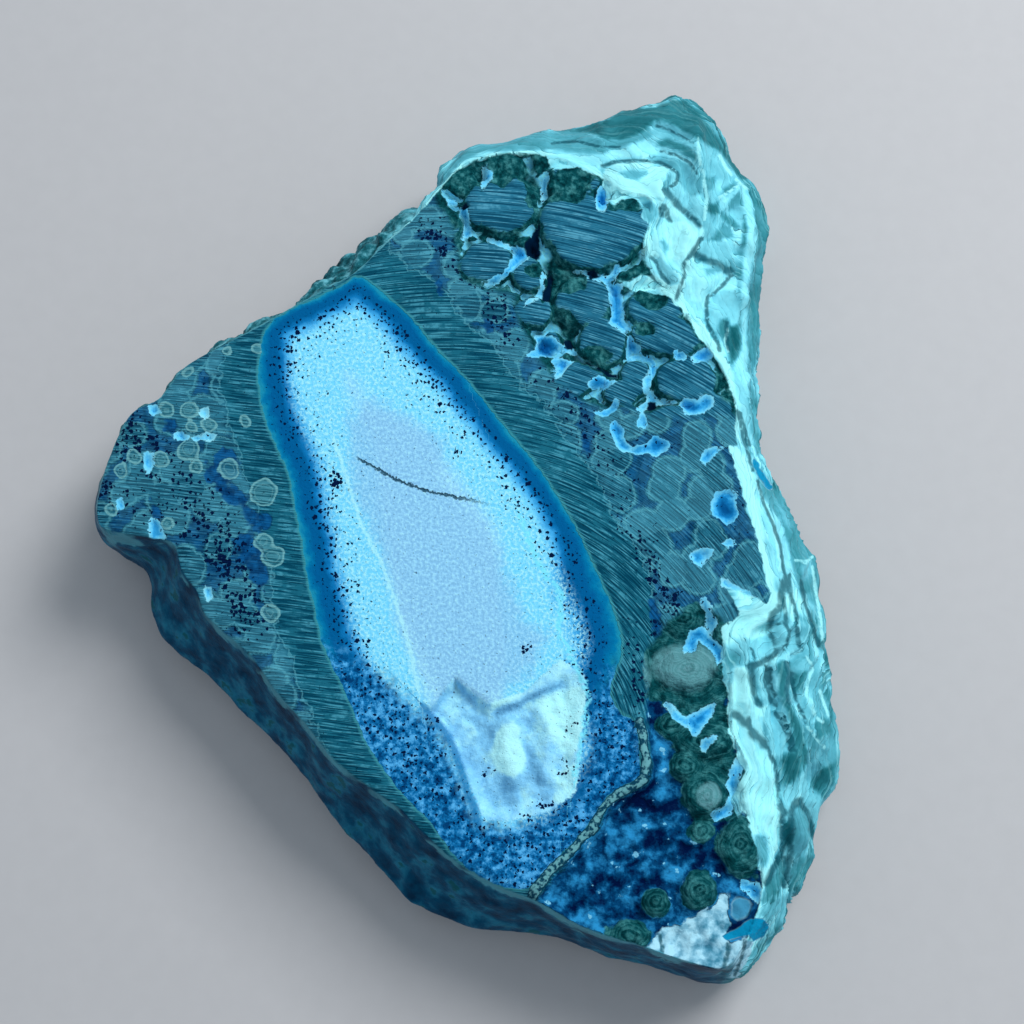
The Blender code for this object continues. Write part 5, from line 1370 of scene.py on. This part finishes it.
def greenCoat(look):
    # Malachite as the saw left it: a plain band round the core, then cut knobs with blue between them
    t = stoneTones
    away = 0.0 - look.field("coreIn") - (look.small - 0.5) * 0.6
    bandEnd = away - look.field("bandWidth") - (look.broad - 0.5) * 3.0 - (look.small - 0.5) * 1.6
    outside = look.step(bandEnd, -0.1, 0.1)
    green = look.mix(outside, sawnTone(look, "bandDark", "bandMid", "bandLight"),
                     sawnTone(look, "outerDark", "outerMid", "outerLight"))

    # Round cells with pale outlines, and blue where their corners meet
    room, lot = look.cells(3.4, 19, at=look.ragged)
    room = room + (look.broad - 0.5) * 0.9
    open_ = look.step(bandEnd, 0.2, 0.6) * (1.0 - look.field("closeIn"))
    ring = (1.0 - look.step(look.sums("ABSOLUTE", room - 0.50), 0.01, 0.06)) * open_
    between = look.step(room, 0.56, 0.64) * open_
    green = look.mix(lot * 0.35 * open_, green, t["outerLight"])
    navyTone = look.mix(look.step(look.small, 0.40, 0.62), t["navy"], t["navyLight"])
    green = look.mix(between * 0.6, green, navyTone)
    scallop = 1.0 - look.step(look.sums("ABSOLUTE", bandEnd), 0.03, 0.16)
    green = look.mix(look.sums("MAXIMUM", ring, scallop) * 0.45, green, t["scallop"])
    green = look.mix((1.0 - look.step(away, 0.1, 0.4)) * 0.8, green, t["edgeLine"])
    navyIn = look.step(look.field("navyIn") + (look.small - 0.5) * 1.6, -0.15, 0.25)
    green = look.mix(navyIn * 0.9, green, navyTone)

    eyeIn = look.field("eyeIn") + (look.small - 0.5) * 0.7
    inEye = look.step(eyeIn, -0.05, 0.05)
    green = look.mix(inEye * 0.75, green, look.mix(look.step(look.strokes, 0.42, 0.52), t["eyeDark"], t["eyeMid"]))
    eyeRings = look.ramp(eyeIn, [
        (0.0, grey(0.0)), (0.10, grey(0.8)), (0.26, grey(0.5)), (0.34, grey(0.0)), (0.52, grey(0.0)),
        (0.62, grey(0.35)), (0.72, grey(0.0))])
    green = look.mix(look.first(eyeRings), green, t["eyeLight"])

    amount = look.field("speckiness") * 0.85 + 0.10 * look.step(bandEnd, 0.5, 2.0) + between * 0.2
    amount = amount * (1.0 - inEye * 0.6) * (0.25 + look.broad * 0.95)
    grains = look.sums("MAXIMUM", specks(look, 0.50, 9, amount, 0.8), specks(look, 0.95, 10, amount * 0.6, 0.75))
    green = look.mix(grains, green, t["speck"])
    height = look.strokes * 0.22 - look.sums("MAXIMUM", navyIn, between) * 0.10 - grains * 0.08
    return green, height, 0.6


def mossCoat(look):
    # The dark green skin of the knobs, in small lumps, lighter where they stand high: partly its colour, partly
    # painted highlights on the lump tops
    t = stoneTones
    lumps = look.noise(0.62, detail=3.0, seed=11, roughness=0.6)
    tone = look.ramp(lumps * 0.5 + look.small * 0.5, [
        (0.38, t["mossDark"]), (0.50, t["mossMid"]), (0.66, t["mossLight"])])
    return tone, lumps * 0.34, 0.45


def knobCoat(look):
    # Sawn knobs: stroked slate-green tops and dark lumpy rims, paler in some creases
    t = stoneTones
    green = greenCoat(look)
    moss = mossCoat(look)
    sunk = look.field("sunk")
    top = (sawnTone(look, "capDark", "capMid", "capLight"), look.strokes * 0.22, 0.6)
    rim = look.step(look.field("capDome") + (look.small - 0.5) * 0.6, 0.84, 0.98)
    rim = look.sums("MAXIMUM", rim, look.step(sunk + (look.fine - 0.5) * 0.3, 0.12, 0.3))
    rim = look.sums("MAXIMUM", rim, look.step(look.field("mossIn") + (look.small - 0.5) * 1.2, 0.0, 0.3))
    caps = cover(look, rim, top, moss)
    crust = look.step(sunk + (look.small - 0.5) * 1.4, 0.95, 1.15) * look.step(look.broad, 0.46, 0.54)
    caps = cover(look, crust * 0.8, caps, (look.mix(look.step(look.fine, 0.4, 0.6), t["groovePale"], t["bluePale"]), 0.0, 0.4))
    return cover(look, look.step(look.field("grooved"), -0.3, 0.6), green, caps)


def poolCover(look, coat):
    # Blue stone in the hollows: pale crust at its edge, azure inside, black grains; painted shade in the deep holes
    t = stoneTones
    pool = look.field("poolIn") + (look.small - 0.5) * 0.7 + (look.fine - 0.5) * 0.4
    deep = pool + (look.broad - 0.5) * 1.2
    tone = look.ramp(deep * 0.5 + 0.3, [
        (0.10, t["crust"]), (0.32, t["bluePale"]), (0.48, t["blueMid"]), (0.62, t["blueBright"]),
        (0.90, t["blueDeep"])])
    tone = look.mix(specks(look, 0.6, 12, 0.22, 0.85), tone, t["speck"])
    coat = cover(look, look.step(pool, -0.22, -0.08), coat, (tone, look.small * 0.12, 0.45))
    # Painted shade: the deep holes are filled with dark navy
    pitShade = look.step(look.field("pitIn") + (look.small - 0.5) * 0.8, -0.15, 0.12)
    return cover(look, pitShade, coat, (t["holeShade"], 0.0, 0.7))


def cornerCoat(look):
    # Broken corner: deep blue stone with ringed green knobs
    t = stoneTones
    blotch = look.noise(1.9, detail=4.0, seed=21, roughness=0.6)
    matrix = look.ramp(blotch + (look.broad - 0.5) * 0.6, [
        (0.38, t["matrixDark"]), (0.50, t["matrixMid"]), (0.66, t["matrixLight"])])
    # Painted glints: small bright spots of highlight on the blue stone
    matrix = look.mix(look.step(look.small + (blotch - 0.5) * 0.5, 0.68, 0.72) * 0.8, matrix, t["matrixPaintedGlint"])
    coat = (matrix, blotch * 0.6, 0.4)
    coat = paleCover(look, coat)

    moss = mossCoat(look)
    shells = look.node("ShaderNodeCombineXYZ", {}, {0: look.field("knobRim") + (look.small - 0.5) * 0.8})
    rings = look.noise(0.26, detail=1.0, seed=13, at=shells, flat=True)
    paleness = look.field("paleKnob") + (look.broad - 0.5) * 0.5 + (look.small - 0.5) * 0.5
    ringed = look.ramp(rings * 0.6 + look.small * 0.4, [(0.38, t["mossDark"]), (0.5, t["mossMid"]), (0.64, t["mossLight"])])
    tone = look.mix(look.step(paleness, 0.1, 0.6) * 0.75, look.mix(0.45, moss[0], ringed), look.mix(rings, t["mossLight"], t["mossPale"]))
    onKnob = look.step(look.field("knobDome") + (look.small - 0.5) * 0.5, 1.02, 0.9)
    mossy = look.step(look.field("mossIn") + (look.small - 0.5) * 1.4, -0.1, 0.3)
    return cover(look, look.sums("MAXIMUM", onKnob, mossy), coat, (tone, moss[1] + rings * 0.08, 0.45))


def mintCoat(look):
    # Smooth broken malachite: plain faces of one lightness each, partly its tone and partly painted light and shade,
    # thin shells, dark lines with painted shade in the creases and painted highlights on the crests
    t = stoneTones
    layers = look.vector("layers")
    wave = look.noise(3.4, detail=1.0, seed=15)
    ripple = look.noise(0.95, detail=2.0, seed=16)
    free = 1.0 - look.field("panelIn") * 0.75
    phase = look.first(layers) * (1.0 / 1.25) + wave * 3.6 + ripple * 0.7
    tooth = look.sums("FRACT", phase)
    lot = look.node("ShaderNodeTexWhiteNoise", {"noise_dimensions": "1D"}, {"W": look.sums("FLOOR", phase)})
    shade = look.field("lightness") + (look.small - 0.5) * 0.16 + (look.fine - 0.5) * 0.06
    shade = shade + ((wave - 0.5) * 0.8 + (lot - 0.5) * 0.3 + (tooth - 0.5) * 0.26) * free
    mint = look.ramp(shade, [
        (0.0, t["mintDeep"]), (0.28, t["mintDark"]), (0.52, t["mintMid"]), (0.76, t["mintLight"]),
        (0.97, t["mintBright"])])
    streaks = look.noise(0.5, detail=2.0, seed=17, stretch=(1.0, 0.08, 1.0), at=layers, flat=True)
    mint = look.mix(look.step(streaks, 0.55, 0.70) * 0.35 * free, mint, t["mintBright"])
    mint = look.mix(look.step(streaks, 0.45, 0.32) * 0.4 * free, mint, t["mintDark"])
    line = (1.0 - look.step(tooth, 0.03, 0.13)) * look.step(look.broad + (ripple - 0.5) * 0.7, 0.42, 0.52)
    mint = look.mix(line * free * 0.8, mint, t["contour"])
    # Painted highlight along the crests
    crestHighlight = 1.0 - look.step(look.field("crestGap") + (look.fine - 0.5) * 0.25, 0.08, 0.34)
    mint = look.mix(crestHighlight * 0.8, mint, t["mintBright"])
    # Dark lines of the stone together with painted shade in the creases
    creaseShade = 1.0 - look.step(look.field("creaseGap") + (look.small - 0.5) * 0.3, 0.10, 0.36)
    mint = look.mix(creaseShade * 0.8, mint, t["contour"])
    mint = look.mix(look.step(look.field("turquoiseIn") + (look.small - 0.5) * 1.4, -0.05, 0.3), mint, t["turquoise"])
    return mint, tooth * free * 0.14 + streaks * 0.06 + look.small * 0.08, 0.42


def paleCover(look, coat):
    # Pale grey-blue stone at the lowest corner
    t = stoneTones
    pale = look.ramp(look.small * 0.6 + look.broad * 0.4, [
        (0.38, t["paleDark"]), (0.47, t["pale"]), (0.56, t["paleLight"])])
    # Dark lines of the stone together with painted shade in the creases
    creaseShade = 1.0 - look.step(look.field("creaseGap") + (look.small - 0.5) * 0.3, 0.10, 0.36)
    pale = look.mix(creaseShade * 0.8, pale, t["contour"])
    pale = look.mix(look.step(look.field("slateIn") + (look.small - 0.5) * 0.6, -0.1, 0.3), pale, t["slate"])
    pale = look.mix(look.step(look.field("turquoiseIn") + (look.small - 0.5) * 0.6, -0.05, 0.1), pale, t["turquoise"])
    share = look.step(look.field("paleIn") + (look.small - 0.5) * 1.2, -0.1, 0.15)
    share = look.sums("MAXIMUM", share, look.step(look.field("slateIn"), -0.1, 0.2))
    share = look.sums("MAXIMUM", share, look.step(look.field("turquoiseIn"), -0.1, 0.1))
    return cover(look, share, coat, (pale, look.small * 0.3, 0.45))


def flankCoat(look):
    # Blue wall at the lower left, lumpy green crust behind, the banded side on the right
    t = stoneTones
    clouds = look.noise(2.6, detail=4.0, seed=18, roughness=0.55)
    wall = look.ramp(clouds * 0.75 + look.broad * 0.25, [
        (0.36, t["wallDark"]), (0.50, t["wallMid"]), (0.64, t["wallLight"])])
    wall = look.mix(look.step(clouds + look.small * 0.3, 0.78, 0.84) * 0.8, wall, t["mossMid"])
    lumps = look.noise(0.9, detail=3.0, seed=24, roughness=0.6)
    crust = look.ramp(lumps * 0.6 + clouds * 0.4, [
        (0.36, t["crustDark"]), (0.50, t["crustMid"]), (0.62, t["crustLight"])])
    coat = cover(look, look.field("wall"), (crust, lumps * 0.3, 0.5), (wall, clouds * 0.25 + look.fine * 0.04, 0.38))
    edge = look.field("edgeIn") + (look.small - 0.5) * 0.9
    # Painted highlight along the broken rim just outside the face
    rimHighlight = look.step(edge, -0.55, -0.35) * look.step(look.broad, 0.38, 0.5)
    coat = (look.mix(rimHighlight * 0.6, coat[0], t["scallop"]), coat[1], coat[2])
    bandedEnd = look.field("banded") + (look.broad - 0.5) * 1.1 + (look.small - 0.5) * 0.4
    return cover(look, look.step(bandedEnd, 0.32, 0.68), coat, paleCover(look, look.mint))


def veinCover(look, coat):
    # The grey-green vein, with a thin dark line on either side
    t = stoneTones
    veinGap = look.field("veinGap") + (look.fine - 0.5) * 0.25 + (look.small - 0.5) * 0.6
    tone = look.mix(look.step(look.noise(0.45, 2.0, 14), 0.40, 0.58), t["veinDark"], t["veinLight"])
    tone = look.mix(look.step(veinGap, 0.34, 0.42), tone, t["veinDark"])
    return cover(look, look.step(veinGap, 0.56, 0.48), coat, (tone, 0.0, 0.5))


def paintStone(name, zones):
    # The same finishes in every material of the stone, each with only the zones that it needs
    look = stoneLook(name)
    if "face" in zones:
        look.strokes = look.noise(0.2, detail=1.0, seed=4, stretch=(1.0, 0.05, 1.0), at=look.vector("strokes"), flat=True)
    if "white" in zones or "flank" in zones:
        look.mint = mintCoat(look)
    coat = None
    if "face" in zones:
        coat = knobCoat(look)
    if "corner" in zones:
        corner = cornerCoat(look)
        if coat:
            corner = cover(look, look.step(look.field("cornerIn") + (look.small - 0.5) * 1.4, -0.3, 0.3), coat, corner)
        coat = corner
    if coat:
        coat = poolCover(look, coat)
    if "white" in zones:
        coat = cover(look, look.step(look.field("whiteIn") + (look.small - 0.5) * 0.9, -0.1, 0.15), coat, look.mint)
    if "core" in zones:
        core = coreCoat(look)
        if coat:
            core = cover(look, look.step(look.field("coreIn") + (look.small - 0.5) * 0.6, -0.05, 0.05), coat, core)
        coat = core
    if "corner" in zones:
        coat = veinCover(look, coat)
    if "flank" in zones:
        flank = flankCoat(look)
        if coat:
            sawn = look.step(look.field("edgeIn") + (look.small - 0.5) * 0.5, -0.12, 0.12)
            coat = cover(look, sawn, flank, coat)
        else:
            coat = flank
    look.feed(look.shader.inputs["Base Color"], coat[0])
    look.feed(look.shader.inputs["Roughness"], coat[2])
    look.shader.inputs["Specular IOR Level"].default_value = 0.04
    look.shader.inputs["Specular Tint"].default_value = (0.08, 0.6, 1.0, 1.0)
    look.feed(look.shader.inputs["Normal"], look.node("ShaderNodeBump", {}, {
        "Strength": 0.9, "Distance": 1.0, "Height": coat[1] * mm}))
    return look.material


stoneZones = [
    ("stone_border", {"face", "corner", "core", "flank", "white"}),
    ("stone_core", {"core"}),
    ("stone_green", {"face"}),
    ("stone_corner", {"corner"}),
    ("stone_flank", {"flank"}),
]


def paintFaces(piece):
    # Faces that lie wholly in one zone take its own material, which renders faster
    mesh = piece.data
    for name, zones in stoneZones:
        mesh.materials.append(paintStone(name, zones))
    corners = np.empty(len(mesh.loops), int)
    mesh.loops.foreach_get("vertex_index", corners)
    starts = np.empty(len(mesh.polygons), int)
    mesh.polygons.foreach_get("loop_start", starts)

    def least(field, sign=1.0):
        values = np.empty(len(mesh.vertices))
        mesh.attributes[field].data.foreach_get("value", values)
        return np.minimum.reduceat((sign * values)[corners], starts)

    face = least("edgeIn") > 0.5
    offCorner = (least("cornerIn", -1.0) > 1.2) & (least("veinGap") > 1.2)
    offCore = least("coreIn", -1.0) > 0.5
    offWhite = least("whiteIn", -1.0) > 0.6
    number = np.zeros(len(mesh.polygons), int)
    number[face & offCorner & (least("coreIn") > 0.5)] = 1
    number[face & offCorner & offCore & offWhite] = 2
    number[face & offCore & offWhite & (least("cornerIn") > 1.2) & (least("veinGap") > 1.2)] = 3
    number[least("edgeIn", -1.0) > 0.5] = 4
    mesh.polygons.foreach_set("material_index", number)
    print("faces by zone:", np.bincount(number, minlength=len(stoneZones)))


def buildSlab():
    piece = makeBody()
    print("body:", len(piece.data.polygons), "faces")
    carve(piece)
    thinUnderside(piece)
    markZones(piece)
    placeSlab(piece)
    paintFaces(piece)
    print("stone:", sum(len(f.vertices) - 2 for f in piece.data.polygons), "triangles")
    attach(piece, "root")
    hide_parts("slab")


# Camera, floor and light

studio = {
    "lens": 70.0,
    "eye": (5.7, -59.36, 230.70),
    "aim": (5.7, -2.1, 17.0),
    "floorTone": (0.50, 0.50, 0.51),
    "skyTone": (0.80, 0.90, 1.0),
    "skyStrength": 0.50,
    "keyPlace": (260.0, 240.0, 420.0),
    "keySize": 260.0,
    "keyPower": 2.4,
}


def setCamera():
    eye = Vector(studio["eye"]) * mm
    aim = Vector(studio["aim"]) * mm
    bpy.ops.object.camera_add(location=eye)
    camera = bpy.context.object
    camera.rotation_euler = (aim - eye).to_track_quat("-Z", "Y").to_euler()
    camera.data.lens = studio["lens"]
    camera.data.sensor_width = 36.0
    camera.data.clip_start = 0.01
    bpy.context.scene.camera = camera


def layFloor():
    bpy.ops.object.select_all(action="DESELECT")
    bpy.ops.mesh.primitive_plane_add(size=4.0)
    floor = bpy.context.object
    floor.name = "floor"
    look = Look("pale_floor")
    speckle = look.noise(2.0, 3.0, 1)
    r, g, b = studio["floorTone"]
    look.feed(look.shader.inputs["Base Color"], look.mix(
        speckle, (r * 0.97, g * 0.97, b * 0.97, 1.0), (r * 1.03, g * 1.03, b * 1.03, 1.0)))
    look.shader.inputs["Roughness"].default_value = 0.8
    floor.data.materials.append(look.material)


def setLight():
    world = bpy.data.worlds.new("sky")
    world.use_nodes = True
    world.node_tree.nodes["Background"].inputs[0].default_value = (*studio["skyTone"], 1.0)
    world.node_tree.nodes["Background"].inputs[1].default_value = studio["skyStrength"]
    bpy.context.scene.world = world
    place = Vector(studio["keyPlace"]) * mm
    bpy.ops.object.light_add(type="AREA", location=place)
    key = bpy.context.object
    key.rotation_euler = (-place).to_track_quat("-Z", "Y").to_euler()
    key.data.size = studio["keySize"] * mm
    key.data.energy = studio["keyPower"]
    bpy.context.scene.view_settings.view_transform = "Standard"


setCamera()
layFloor()
setLight()
buildSlab()
